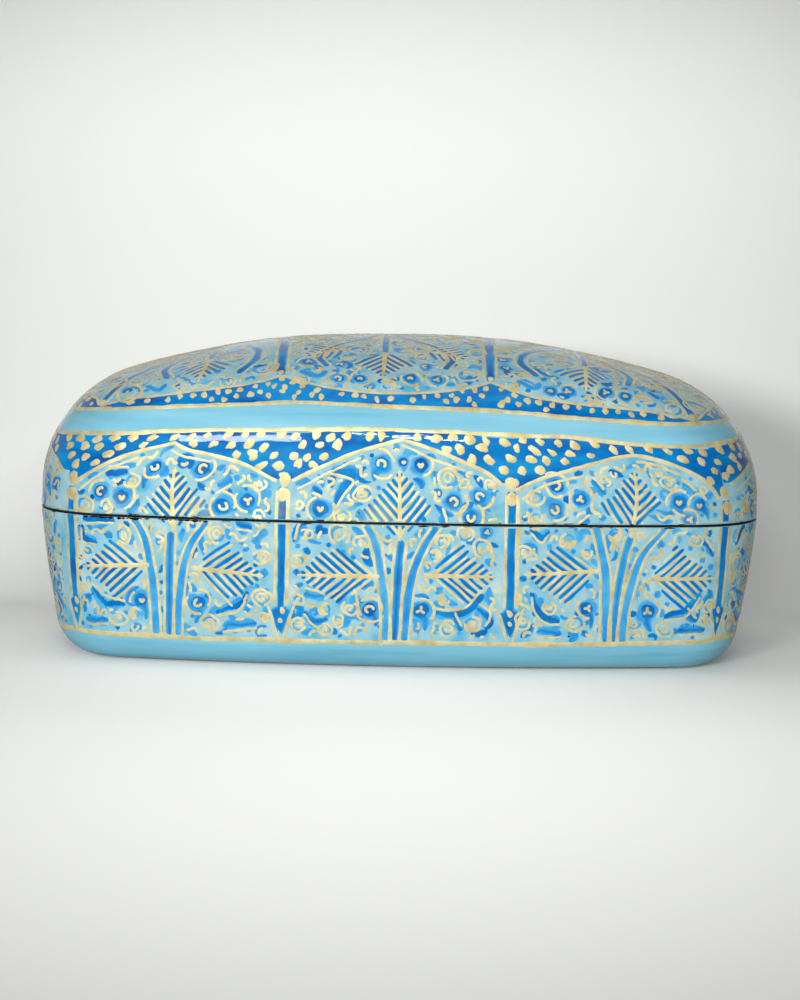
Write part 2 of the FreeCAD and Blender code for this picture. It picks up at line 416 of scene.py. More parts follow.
# How far the normals of a stroke lean out over its edges
ROUND = {"blue": 0.04, "gold": 0.16, "chip": 0.3}
# How far the edges of crisp and of soft strokes sink into the ground
SUNK, SOFT_SUNK = 0.04, 0.006

# Distance from the seam that strokes keep, and where those of the lid's top start
RIM, TOP_FROM = 0.42, 30.5


class Ink:
    """Strokes of one paint on one part of the box, gathered into one mesh."""

    def __init__(self):
        self.points, self.normals, self.bodies, self.faces, self.count = [], [], [], [], 0

    def add(self, points, normals, bodies, faces):
        """Adds a stroke's points, with normals and how much paint lies there, and its faces."""
        self.points.append(points)
        self.normals.append(normals / np.linalg.norm(normals, axis=1)[:, None])
        self.bodies.append(bodies)
        self.faces.extend((faces + self.count).tolist())
        self.count += len(points)


inks = {}


def ink(kind, body, w):
    """The mesh that a stroke of paint belongs to."""
    area = "top" if body == "lid" and w > TOP_FROM and kind != "chip" else "side"
    return inks.setdefault((kind, body, area), Ink())


def number_of(knots):
    """A whole number that belongs to a stroke, to seed its wavering."""
    total = 7
    for value in np.asarray(knots, float).ravel()[:12]:
        total = (total * 31 + int(round(value * 97))) % (2**31 - 1)
    return total


def smooth_path(knots, step):
    """Even samples of a rounded path through knots of u, v and half width, and their distances."""
    knots = np.asarray(knots, float)
    if len(knots) == 2:
        knots = np.array([knots[0], (knots[0] + knots[1]) / 2, knots[1]])
    padded = np.concatenate([[2 * knots[0] - knots[1]], knots, [2 * knots[-1] - knots[-2]]])
    out = []
    t = np.linspace(0, 1, 9)[:-1, None]
    for a, b, c, d in zip(padded, padded[1:], padded[2:], padded[3:]):
        cubic = (3 * b - a - 3 * c + d) * t**3
        out.append(0.5 * (2 * b + (c - a) * t + (2 * a - 5 * b + 4 * c - d) * t**2 + cubic))
    fine = np.concatenate(out + [knots[-1:]])
    run = np.concatenate([[0], np.cumsum(np.linalg.norm(np.diff(fine[:, :2], axis=0), axis=1))])
    total = run[-1]
    cap = min(fine[0, 2], total / 3)
    wanted = np.linspace(0, total, max(int(total / step), 2) + 1)
    wanted = np.unique(np.append(wanted, [cap * 0.3, cap * 0.75, total - cap * 0.75, total - cap * 0.3]))
    wanted = wanted[np.append(True, np.diff(wanted) > 0.05)]
    wanted[-1] = total
    return np.stack([np.interp(wanted, run, fine[:, k]) for k in range(3)], axis=1), wanted


def lay(kind, place, knots, strength=1.0, jitter=0.09, step=0.62, square=False):
    """One stroke of paint, from knots of u, v and half width on a place of the painting."""
    line, run = smooth_path(knots, step)
    total, n = run[-1], len(line)
    draw = np.random.default_rng(number_of(knots))
    if jitter:
        # The hand drifts off the line, and the brush swells and thins
        drift = np.cumsum(draw.normal(0, 1, (n, 2)), axis=0)
        drift -= np.linspace(0, 1, n)[:, None] * drift[-1]
        line[:, :2] += drift / max(np.abs(drift).max(), 1e-6) * jitter * min(total / 6, 1)
        swells = max(int(total / 2.2), 2) + 1
        line[:, 2] *= np.interp(run, np.linspace(0, total, swells), draw.uniform(0.8, 1.18, swells))
    if not square:
        # Both ends are round
        tip = np.maximum(line[:, 2], 0.05)
        for far in (run, total - run):
            line[:, 2] *= np.sqrt(np.clip(1 - (1 - np.clip(far / tip, 0, 1)) ** 2, 0.03, 1))
    # The seam cuts the stroke in two
    x, w = place(line[:, 0], line[:, 1])
    side = np.where(w > RIM, 1, np.where(w < -RIM, -1, 0))
    starts = np.flatnonzero(np.append(True, side[1:] != side[:-1]))
    for first, last in zip(starts, np.append(starts[1:], n)):
        if side[first] and last - first > 1:
            body = "lid" if side[first] > 0 else "base"
            ribbon(kind, body, x[first:last], w[first:last], line[first:last, 2], strength)


def ribbon(kind, body, x, w, half, strength):
    """Raised band of paint along places of the painting."""
    points, normals = (lid_skin if body == "lid" else base_skin).at(x, w)
    side = np.cross(normals, np.gradient(points, axis=0))
    side /= np.maximum(np.linalg.norm(side, axis=1), 1e-9)[:, None]
    rows, facings, bodies = [], [], []
    for across, amount in SOFT if kind == "blue" else CRISP:
        paint = 0.0 if amount is None else amount * strength
        lift = -SUNK if amount is None else LIFTS[kind] * paint - (SOFT_SUNK if kind == "blue" else 0)
        rows.append(points + side * (half * across)[:, None] + normals * lift)
        facings.append(normals + side * across * ROUND[kind])
        bodies.append(np.full(len(x), paint))
    count = len(rows)
    k = (np.arange(len(x) - 1)[:, None] * count + np.arange(count - 1)[None, :]).ravel()
    faces = np.stack([k + count, k + count + 1, k + 1, k], axis=1)
    stack = [np.stack(table, axis=1) for table in (rows, facings, bodies)]
    flat = stack[0].reshape(-1, 3)
    flat[:, 2] = np.maximum(flat[:, 2], SEAM + RIM) if body == "lid" else np.minimum(flat[:, 2], SEAM - RIM)
    ink(kind, body, w[0]).add(flat, stack[1].reshape(-1, 3), stack[2].ravel(), faces)


def dab(kind, place, u, v, du, dv, strength=1.0):
    """Closed dab of paint from an outline of offsets round its middle."""
    n = len(du)
    rings = ((0.62, 0.9), (1.0, 0.0)) if kind == "blue" else ((0.86, 1.0), (1.0, None))
    uu = np.concatenate([[u]] + [u + du * share for share, _ in rings])
    vv = np.concatenate([[v]] + [v + dv * share for share, _ in rings])
    x, w = place(uu, vv)
    body = "lid" if w[0] > 0 else "base"
    w = np.maximum(w, RIM) if body == "lid" else np.minimum(w, -RIM)
    points, normals = (lid_skin if body == "lid" else base_skin).at(x, w)
    amounts = [1.0 if kind == "blue" else 1.2] + [a for _, a in rings for _ in range(n)]
    paint = np.array([0.0 if a is None else a * strength for a in amounts])
    low = -SOFT_SUNK if kind == "blue" else 0.0
    lift = np.array([-SUNK if a is None else LIFTS[kind] * a * strength + low for a in amounts])
    outward = points - points[0]
    outward /= np.maximum(np.linalg.norm(outward, axis=1), 1e-6)[:, None]
    shares = np.array([0.0] + [share for share, _ in rings for _ in range(n)])
    facings = normals + outward * (shares * ROUND[kind])[:, None]
    faces = []
    for s in range(n):
        t = (s + 1) % n
        faces.append([0, 1 + s, 1 + t, 1 + t])
        faces.append([1 + s, 1 + n + s, 1 + n + t, 1 + t])
    if np.dot(np.cross(points[1] - points[0], points[2] - points[0]), normals[0]) < 0:
        faces = [face[::-1] for face in faces]
    layer = ink(kind, body, w[0])
    layer.add(points + normals * lift[:, None], facings, paint, np.array(faces))
    layer.faces[-2 * n :] = [list(dict.fromkeys(face)) for face in layer.faces[-2 * n :]]


def blob(kind, place, u, v, radius, draw, rough=0.16, stretch=1.0, lean=0.0, strength=1.0, sides=14):
    """One round dab with a wavering outline."""
    turn = np.linspace(0, 2 * math.pi, sides, endpoint=False)
    edge = radius * (1 + rough * draw.normal(0, 0.6, sides))
    edge = edge * 0.6 + np.roll(edge, 1) * 0.2 + np.roll(edge, -1) * 0.2
    du, dv = edge * np.cos(turn) * stretch, edge * np.sin(turn) / stretch
    c, s = math.cos(lean), math.sin(lean)
    dab(kind, place, u, v, du * c - dv * s, du * s + dv * c, strength)


def on_ring(u, v, radius, start, sweep, count, half, flat=1.0, wobble=0.0):
    """Knots of a line that runs round a middle, from radius to radius."""
    first, last = radius if isinstance(radius, tuple) else (radius, radius)
    knots = []
    for t in np.linspace(0, 1, count):
        turn = start + sweep * t
        waver = math.sin(turn * 2.3 + start * 7) + 0.6 * math.sin(turn * 4.1 + start * 3)
        r = first + (last - first) * t + wobble * waver
        knots.append((u + r * math.cos(turn), v + r * math.sin(turn) * flat, half))
    return knots


# Sideways shift that keeps upright lines plumb on the base, which gets smaller downwards: for
# each mm below its start and each mm from the middle of a side. It ends before the box's ends.
PLUMB_SHIFT, PLUMB_START, PLUMB_END = 0.0006, 8, 46


def side_place(x0, way=1.0):
    """Places of a panel on the sides: u runs to the right of x0, and v up from the seam."""
    def place(u, v):
        x, w = x0 + way * np.asarray(u, float), np.asarray(v, float)
        away = np.mod(x + BACK / 2, BACK) - BACK / 2
        near = np.clip((BACK / 2 - np.abs(away)) / PLUMB_END, 0, 1)
        return x + away * PLUMB_SHIFT * np.maximum(-w - PLUMB_START, 0) * near, w
    return place


def wideness(x):
    """How wide the skin's columns are at each row of the lid, in shares of the rim's."""
    i = int(round(x / AROUND * COLUMNS)) % COLUMNS
    ahead, behind = lid_skin.points[(i + 2) % COLUMNS], lid_skin.points[(i - 2) % COLUMNS]
    return lid_skin.w[i], np.linalg.norm(ahead - behind, axis=1) / (4 * AROUND / COLUMNS)


def top_place(x0):
    """Panels on top grow from the ridge: v runs from it down to the band, and u keeps its size."""
    column_w, wide = wideness(x0)
    depth = column_w[-1] - column_w[HIGH_ROW]

    def place(u, v):
        u, v = np.asarray(u, float), np.asarray(v, float)
        x = x0 + u / np.clip(np.interp(column_w[-1] - v, column_w, wide), 0.12, None)
        return x, ridge_w(x) - v / depth * (ridge_w(x) - high_w(x))
    return place


def as_it_is(u, v):
    """Places that are x and w themselves."""
    return np.asarray(u, float), np.asarray(v, float)


class Field:
    """Keeps the latest places that are taken, so that fillers find free ones."""

    MOST = 4000

    def __init__(self):
        self.taken = np.zeros((self.MOST, 3))
        self.count = 0

    def slimmer(self, less):
        """Another field with the same places, each less wide."""
        other = Field()
        other.taken[: self.count] = self.taken[: self.count] - (0, 0, less)
        other.count = self.count
        return other

    def take(self, u, v, r):
        self.taken[self.count % self.MOST] = (u, v, r)
        self.count += 1

    def take_line(self, knots, r, step=0.8):
        line, _ = smooth_path([(k[0], k[1], 1.0) for k in knots], step)
        for u, v, _ in line:
            self.take(u, v, r)

    def room(self, u, v):
        """Distance from a place to the nearest taken one."""
        some = self.taken[: min(self.count, self.MOST)]
        away = np.hypot(some[:, 0] - u, some[:, 1] - v) - some[:, 2]
        return float(away.min()) if len(some) else 9.0


def chord(start, way, corners):
    """Where a line cuts a triangle: distances along it, or None."""
    cuts = []
    for (ax, ay), (bx, by) in zip(corners, corners[1:] + corners[:1]):
        ex, ey = bx - ax, by - ay
        cross = way[0] * ey - way[1] * ex
        if abs(cross) > 1e-9:
            t = ((ax - start[0]) * ey - (ay - start[1]) * ex) / cross
            s = ((ax - start[0]) * way[1] - (ay - start[1]) * way[0]) / cross
            if -1e-9 <= s <= 1 + 1e-9:
                cuts.append(t)
    return (min(cuts), max(cuts)) if len(cuts) > 1 and max(cuts) - min(cuts) > 0.9 else None


def gild(place, knots, jitter=0.1):
    """Gold line that carries its full paint."""
    lay("gold", place, knots, 1.0, jitter)


# Half widths of a leaf's veins: near its spine, halfway and at its edge
VEINS = {"gold": (0.4, 0.44, 0.38), "blue": (0.546, 0.728, 0.598)}


def leaf(place, field, stem, tip, sides, slant, draw, pitch=2.1):
    """Chevron leaf: a gold spine, and gold veins over deep blue that end on a diamond's outline."""
    length = math.dist(stem, tip)
    ahead = ((tip[0] - stem[0]) / length, (tip[1] - stem[1]) / length)
    for corner in sides:
        turn = math.copysign(slant, ahead[0] * (corner[1] - stem[1]) - ahead[1] * (corner[0] - stem[0]))
        way = (
            ahead[0] * math.cos(turn) - ahead[1] * math.sin(turn),
            ahead[0] * math.sin(turn) + ahead[1] * math.cos(turn),
        )
        for k in range(-12, 20):
            along = (k * 0.5 + 0.3) * pitch / math.sin(slant)
            start = (stem[0] + ahead[0] * along, stem[1] + ahead[1] * along)
            cut = chord(start, way, [stem, corner, tip])
            if not cut:
                continue
            far = cut[0] + (cut[1] - cut[0]) * draw.uniform(0.88, 1.1)
            near = cut[0] + 0.1
            bow = draw.normal(0, 0.16)
            kind = "gold" if k % 2 == 0 else "blue"
            knots = [
                (start[0] + way[0] * t - way[1] * side, start[1] + way[1] * t + way[0] * side, half)
                for t, side, half in zip((near, (near + far) / 2, far), (0, bow, 0), VEINS[kind])
            ]
            lay(kind, place, knots, 1.0, 0.07)
            field.take_line(knots, 1.0, 1.2)
    middle = ((stem[0] + tip[0]) / 2 + draw.normal(0, 0.15), (stem[1] + tip[1]) / 2)
    root = (stem[0] - ahead[0] * 0.8, stem[1] - ahead[1] * 0.8)
    gild(place, [(*root, 0.8), (*middle, 0.68), (*tip, 0.4)], 0.08)


def mark(place, u, v, size, draw):
    """Small gold mark in a flower: a hook, a heart or a star."""
    pick, start = draw.integers(3), draw.uniform(0, 6.3)
    if pick == 0:
        gild(place, on_ring(u, v, size * 0.78, start, 4.6, 7, 0.52, 1.0, 0.12), 0)
    elif pick == 1:
        for side in (-1, 1):
            gild(place, [(u + side * size * 0.55, v + size * 0.4, 0.66), (u, v - size * 0.7, 0.5)], 0)
    else:
        for turn in (start, start + 2.1, start + 4.2):
            gild(place, [(u, v, 0.5), (u + size * math.cos(turn), v + size * math.sin(turn), 0.6)], 0)


def flower(place, field, u, v, radius, draw, tail=None, ring=True):
    """Round deep blue flower in a paler halo, with a gold mark, a gold outline and perhaps a tail."""
    if tail is not None:
        bend = draw.choice([-1, 1]) * 0.8
        middle = ((u + tail[0]) / 2 + bend, (v + tail[1]) / 2)
        knots = [(u, v, radius * 0.85), (*middle, radius * 0.55), (*tail, radius * 0.25)]
        lay("blue", place, knots, 0.75, 0.1)
        field.take_line(knots, radius * 0.4)
    blob("blue", place, u, v, radius * 1.6, draw, 0.3, strength=0.5, sides=16)
    blob("blue", place, u, v, radius * 1.12, draw, 0.2, strength=1.15, sides=16)
    mark(place, u + draw.normal(0, 0.15), v, radius * 0.56, draw)
    field.take(u, v, radius * 1.2)
    if ring:
        start = draw.uniform(0, 6.3)
        for _ in range(draw.integers(1, 3)):
            sweep = draw.uniform(1.2, 3.0)
            radii = (radius * draw.uniform(1.3, 1.5), radius * draw.uniform(1.25, 1.75))
            gild(place, on_ring(u, v, radii, start, sweep, 9, 0.46, 1.0, 0.16), 0.12)
            field.take_line(on_ring(u, v, radii, start, sweep, 8, 0.4), 0.5)
            start += sweep + draw.uniform(0.4, 1.2)


def rose(place, field, u, v, radius, draw):
    """Gold scroll: a wobbly ring round a tighter hook, on a touch of blue."""
    start, way = draw.uniform(0, 6.3), draw.choice([-1, 1])
    flat = draw.uniform(0.8, 1.15)
    wash = on_ring(u, v, radius * 0.78, start + 2, way * 2.6, 6, radius * 0.24, flat)
    lay("blue", place, wash, 0.5, 0.1)
    sweep = way * draw.uniform(4.8, 6.1)
    gild(place, on_ring(u, v, radius * 0.98, start, sweep, 12, 0.48, flat, 0.26), 0.12)
    if radius > 1.4:
        inner = (radius * (0.62 if radius > 2.6 else 0.52), radius * 0.16)
        sweep = -way * draw.uniform(4.5, 8.0)
        gild(place, on_ring(u, v, inner, start + 1.5, sweep, 12, 0.46, flat, 0.24), 0.08)
    field.take(u, v, radius * 1.05)


def fan(place, field, u, v, radius, draw):
    """Gold arcs one inside the other, all open the same way."""
    start = draw.uniform(0, 6.3)
    lay("blue", place, on_ring(u, v, radius * 0.75, start + 1, 3.0, 6, radius * 0.25), 0.55, 0.1)
    for share, sweep in ((0.95, 4.6), (0.6, 3.8), (0.24, 3.0)):
        turn = start - sweep / 2 + draw.normal(0, 0.2)
        gild(place, on_ring(u, v, radius * share, turn, sweep, 11, 0.45, 1.0, 0.14 * share), 0.08)
    field.take(u, v, radius * 1.02)


def hook(place, field, u, v, radius, draw):
    """Gold curl that winds in once."""
    start, way = draw.uniform(0, 6.3), draw.choice([-1, 1])
    sweep = way * draw.uniform(4.2, 7.5)
    flat = draw.uniform(0.8, 1.1)
    gild(place, on_ring(u, v, (radius, radius * 0.3), start, sweep, 10, 0.47, flat), 0.08)
    field.take(u, v, radius)


def trail(inside, field, u, v, room, stride, headings):
    """Path that follows its headings and stops before it meets something."""
    path = [(u, v)]
    for turn in headings:
        u, v = u + stride * math.cos(turn), v + stride * math.sin(turn)
        if not inside(u, v) or field.room(u, v) < room:
            break
        path.append((u, v))
    return path


def wandering(draw, turn, bend, steps):
    """Headings that wander."""
    for _ in range(steps):
        turn += bend + draw.normal(0, 0.16)
        bend = bend * 0.9 + draw.normal(0, 0.13)
        yield turn


def winding(draw):
    """Headings that swing from side to side."""
    heading, phase, swing = draw.uniform(0, 6.3), draw.uniform(0, 6.3), draw.uniform(0.8, 1.5)
    for k in range(draw.integers(8, 20)):
        yield heading + swing * math.sin(phase + k * 0.75)


# Rounds of fillers: least and most room. Rounds of lines: steps a line has at least, the room
# that it keeps, and how many tries it has for each try of a filler
FILLERS = ((2.4, 3.9), (1.9, 2.6), (1.4, 2.0))
LINES = ((9, 0.6, 22), (6, 0.58, 14), (4, 0.56, 10), (2, 0.56, 6))
WASH_TRIES, WASH_ROOM, WASH_STEPS = 7, 0.4, 14
WASH_STRENGTHS = [0.46, 0.5, 0.56, 0.62, 0.7, 0.84, 1.1]


def filigree(place, field, inside, box, draw, tries):
    """Fills what is left with blue washes and with gold scrolls, fans, hooks and winding lines."""
    def somewhere():
        return draw.uniform(box[0], box[2]), draw.uniform(box[1], box[3])

    washes = field.slimmer(0.8)
    for _ in range(tries * WASH_TRIES):
        u, v = somewhere()
        if not inside(u, v) or washes.room(u, v) < WASH_ROOM:
            continue
        headings = wandering(draw, draw.uniform(0, 6.3), draw.normal(0, 0.35), WASH_STEPS)
        path = trail(inside, washes, u, v, WASH_ROOM, 0.8, headings)
        if len(path) > 2:
            half, strength = draw.uniform(0.9, 2.0), draw.choice(WASH_STRENGTHS)
            taper = np.sin(np.linspace(0.5, 2.9, len(path)))
            lay("blue", place, [(a, b, half * t) for (a, b), t in zip(path, taper)], strength, 0.2)
            washes.take_line(path, half + 0.4)
    for low, high in FILLERS:
        for _ in range(tries):
            u, v = somewhere()
            room = min(field.room(u, v), high) if inside(u, v) else 0
            if room < low:
                continue
            pick = draw.uniform()
            if 2.2 < room < 3.2 and pick < 0.25:
                flower(place, field, u, v, room * 0.68, draw, None, False)
            elif pick < 0.55:
                rose(place, field, u, v, room - 0.3, draw)
            elif room > 1.9 and pick < 0.85:
                fan(place, field, u, v, room - 0.3, draw)
            else:
                hook(place, field, u, v, room - 0.35, draw)
    for least, room, count in LINES:
        for _ in range(tries * count):
            u, v = somewhere()
            if inside(u, v) and field.room(u, v) > room + 0.1:
                path = trail(inside, field, u, v, room, 0.72, winding(draw))
                if len(path) > least:
                    gild(place, [(a, b, 0.52) for a, b in path], 0.08)
                    field.take_line(path, 0.45)


# Panels of the front as painted: u from the panel's middle, v over the seam. Each arch is two
# lines that meet in a point. A leaf is its stem, tip and corners. A stem of the plant, or a blue
# stroke, is how much blue it carries, its half width and its knots. A flower is its place, its
# radius and perhaps its tail's end, and a rose its place and radius.
MIDDLE = {
    "arch": (
        [(-33.4, 12.3), (-24.1, 17.3), (-13.2, 22.0), (-2.5, 25.1), (1.2, 26.0)],
        [(0.6, 26.0), (10.7, 22.9), (21.4, 18.8), (27.7, 15.8), (31.8, 12.3)],
    ),
    "upright": ((0.4, -4.6), (-0.1, 16.4), ((-11.3, 3.4), (10.6, 5.0))),
    "sideways": (
        ((-6.4, -16.7), (-31.0, -16.9), ((-20.0, -6.6), (-18.6, -26.2))),
        ((9.4, -16.1), (29.9, -16.4), ((18.4, -5.8), (20.9, -26.6))),
    ),
    "stems": (
        (0.55, 1.35, [
            (-10.8, 0.6), (-7.2, -6.0), (-5.4, -14.7), (-4.2, -23.0), (-3.6, -31.0), (-3.5, -37.6),
        ]),
        (1.05, 1.3, [(0.9, -5.0), (0.2, -12.6), (-0.2, -22.9), (-0.6, -33.0), (-0.8, -37.6)]),
        (0.85, 1.3, [(11.6, -0.8), (8.2, -6.2), (5.0, -13.9), (3.2, -22.9), (2.4, -33.0), (2.2, -37.6)]),
    ),
    "flowers": (
        (-5.7, 18.2, 2.8, -8.0, 12.8), (6.6, 18.2, 2.6), (-8.5, -27.4, 2.7, -6.5, -33.0),
        (7.3, -27.4, 2.8, 8.4, -34.0), (16.6, 7.0, 2.6), (24.6, 8.7, 2.5, 28.0, 4.0), (22.0, 2.4, 2.6),
        (-24.2, 4.2, 2.8),
    ),
    "blues": (
        (1.0, 1.7, [(-21.8, 16.2), (-17.0, 16.0), (-14.6, 14.6), (-17.2, 10.5), (-19.4, 5.6)]),
        (1.0, 1.2, [(-31.8, -6.6), (-30.6, -2.4), (-28.6, -0.6)]),
        (1.0, 1.3, [(-23.8, -0.8), (-24.8, -4.0)]), (1.0, 1.5, [(-28.8, -8.4), (-27.2, -10.2)]),
        (0.9, 1.3, [(-27.0, 10.8), (-23.6, 9.0)]),
        (1.0, 1.5, [(10.7, -27.8), (16.4, -29.0), (21.3, -27.8), (24.5, -24.1), (26.2, -21.8)]),
        (1.0, 1.3, [(24.6, -26.0), (28.4, -30.0), (27.0, -33.4)]),
        (1.0, 1.3, [(17.6, -29.6), (20.0, -33.6)]),
        (0.75, 1.4, [(-28.7, -28.2), (-25.1, -31.6), (-21.0, -31.0)]),
        (0.7, 1.3, [(-28.6, -22.6), (-22.4, -24.0)]), (0.65, 1.3, [(10.9, 16.4), (10.9, 12.6)]),
        (0.6, 1.6, [(-13.0, 3.6), (-10.4, 0.4)]), (0.6, 1.5, [(13.2, 3.0), (14.6, -0.8)]),
        (0.55, 1.6, [(-13.2, -22.8), (-11.0, -31.0)]),
    ),
    "roses": (
        (-11.3, 8.9, 2.6), (-12.3, 18.6, 2.3), (-17.4, 1.8, 2.3), (15.2, 14.2, 2.5), (-18.2, -3.8, 2.8),
        (-11.3, -6.0, 2.2), (-14.6, -27.0, 2.3), (-30.2, -33.0, 2.2), (23.0, -31.6, 2.2),
        (15.6, -33.2, 2.0), (25.7, -7.4, 2.5), (20.4, -3.0, 2.2), (-30.8, -12.4, 2.0), (28.0, 12.0, 1.6),
        (-22.0, -34.2, 1.8),
    ),
}
LEFT = {
    "arch": (
        [(-31.6, 9.4), (-21.8, 16.9), (-14.2, 21.0), (-4.0, 24.3)],
        [(-4.6, 24.2), (1.4, 21.6), (10.9, 19.8), (21.5, 17.1), (32.4, 12.2)],
    ),
    "upright": ((1.3, -3.6), (-0.4, 15.9), ((-8.0, 3.6), (11.4, 5.2))),
    "sideways": (
        ((-7.0, -15.2), (-28.4, -16.5), ((-17.8, -7.4), (-15.8, -28.0))),
        ((7.6, -15.7), (29.4, -17.6), ((17.4, -6.7), (18.9, -26.6))),
    ),
    "stems": (
        (0.72, 1.35, [(-12.0, 0.2), (-8.2, -6.0), (-5.8, -15.8), (-4.4, -26.0), (-3.8, -37.8)]),
        (0.95, 1.25, [(0.4, -4.4), (0.2, -14.0), (0.2, -26.0), (0.4, -37.8)]),
        (0.72, 1.25, [(11.8, -0.6), (7.0, -7.5), (4.4, -15.8), (3.2, -26.0), (2.9, -37.8)]),
    ),
    "flowers": (
        (-7.0, 15.8, 2.4, -9.0, 8.6), (8.2, 15.6, 2.8, 12.6, 13.6), (-15.3, 5.8, 2.7), (-22.2, 7.4, 2.4),
        (16.4, 4.2, 2.8), (24.0, 6.0, 2.7), (-8.6, -26.6, 2.4, -7.0, -33.0),
        (9.2, -26.8, 2.6, 8.4, -33.6),
    ),
    "blues": (
        (1.0, 1.6, [(-22.0, 13.4), (-15.0, 13.8)]), (1.0, 1.2, [(-28.0, -1.4), (-17.4, -1.2)]),
        (1.0, 1.2, [(-28.6, -3.4), (-28.4, -7.4), (-23.4, -8.4)]),
        (1.0, 1.3, [(-25.0, -23.0), (-20.6, -27.6), (-13.6, -28.4)]),
        (1.0, 1.3, [(14.8, -29.6), (21.6, -27.2), (24.6, -22.6)]),
        (0.7, 1.4, [(-28.0, -33.2), (-19.0, -33.8)]), (0.6, 1.5, [(14.0, 10.0), (18.6, 12.4)]),
        (0.6, 1.4, [(26.0, -7.0), (29.6, -2.4)]), (0.7, 1.4, [(17.0, -34.0), (27.6, -33.0)]),
        (0.6, 1.5, [(-12.6, 0.8), (-10.2, 5.4)]), (0.8, 1.2, [(20.4, -1.0), (25.6, -2.6)]),
    ),
    "roses": (
        (-24.0, -31.6, 2.4), (20.0, 11.8, 2.3), (28.6, -11.6, 1.8), (28.8, -24.6, 2.2), (-27.2, 3.0, 2.0),
        (-12.8, 11.0, 2.0), (14.6, -5.0, 1.8), (-14.6, -6.0, 1.8), (27.6, 0.6, 1.9), (-15.6, -33.0, 2.0),
        (13.0, -33.4, 1.9), (27.4, 11.0, 1.7), (1.8, 20.4, 1.4),
    ),
}
RIGHT = {
    "arch": (
        [(-36.6, 10.6), (-28.7, 14.2), (-15.1, 18.1), (-3.0, 21.4), (4.9, 22.8)],
        [(4.3, 22.8), (9.3, 22.0), (17.5, 18.6), (24.3, 13.7), (27.6, 8.0)],
    ),
    "upright": ((-0.8, -3.0), (2.0, 17.5), ((-11.3, 6.4), (8.6, 7.6))),
    "sideways": (
        ((-11.4, -14.3), (-33.9, -15.5), ((-24.0, -5.9), (-20.6, -25.6))),
        ((5.6, -16.8), (27.0, -16.8), ((13.5, -5.9), (16.2, -27.8))),
    ),
    "stems": (
        (0.72, 1.35, [(-12.2, 0.0), (-9.8, -8.4), (-8.6, -15.7), (-8.4, -26.0), (-8.2, -37.6)]),
        (0.95, 1.25, [(-1.0, -3.0), (-3.0, -10.5), (-4.7, -21.0), (-5.4, -29.0), (-6.0, -37.6)]),
        (0.72, 1.25, [(9.8, -0.8), (3.0, -9.0), (-0.5, -18.4), (-2.4, -28.0), (-3.2, -37.6)]),
    ),
    "flowers": (
        (-23.8, 12.4, 2.6), (-16.8, 8.2, 2.4), (-24.6, 5.0, 2.6), (14.4, 7.4, 2.5),
        (20.6, 6.4, 2.3, 23.6, 1.6), (17.2, 2.0, 2.2), (-14.2, -26.2, 2.4, -13.0, -33.0),
        (4.7, -27.3, 2.8, 6.0, -34.0),
    ),
    "blues": (
        (1.0, 1.4, [(-31.2, -21.4), (-30.2, -25.4), (-26.8, -29.2), (-22.6, -30.4)]),
        (1.0, 1.4, [(10.0, -29.2), (16.8, -27.4), (22.2, -21.6)]),
        (1.0, 1.2, [(17.6, -28.0), (21.0, -31.0)]),
        (0.9, 1.5, [(-32.4, -1.2), (-29.0, -3.6), (-26.4, -1.4)]),
        (0.7, 1.4, [(-29.6, -34.0), (-22.0, -34.2)]), (0.6, 1.4, [(16.4, 13.0), (20.4, 9.8)]),
        (0.7, 1.3, [(-8.8, 9.6), (-11.8, 14.2)]), (0.7, 1.4, [(14.4, -33.4), (24.8, -33.6)]),
        (0.6, 1.4, [(-14.2, 1.8), (-18.6, -1.4)]), (0.8, 1.2, [(22.0, -4.4), (26.4, -9.4)]),
    ),
    "roses": (
        (-30.6, 8.4, 2.4), (-9.8, 11.0, 2.2), (-26.0, -26.2, 2.0), (-34.0, -30.6, 2.2),
        (-17.8, -31.4, 2.3), (12.0, 13.4, 2.2), (20.0, -12.6, 1.8), (26.0, -26.0, 2.0),
        (-34.0, -8.2, 1.8), (10.2, -33.2, 2.0), (-30.6, 1.6, 1.9), (19.8, -4.6, 1.9),
    ),
}

# Where each panel's middle lies, which panel it is, whether it is turned over, its right column
# and the height where that column's arches spring. The ends carry a wider middle panel.
PANELS = (
    (0.0, MIDDLE, 1, 34.6, 12.4), (72.5, RIGHT, 1, 102.6, 9.6), (151.0, MIDDLE, 1, 199.4, 11.0),
    (BACK - 72.5, RIGHT, -1, BACK - 34.6, 12.0), (BACK, MIDDLE, -1, BACK + 35.8, 12.4),
    (BACK + 70.6, LEFT, -1, BACK + 103.2, 10.0), (AROUND - 151.0, MIDDLE, 1, AROUND - 103.2, 10.4),
    (AROUND - 70.6, LEFT, 1, AROUND - 35.8, 12.4),
)
STRETCHES = (1.0, 1.0, 1.36, 1.0, 1.0, 1.0, 1.36, 1.0)


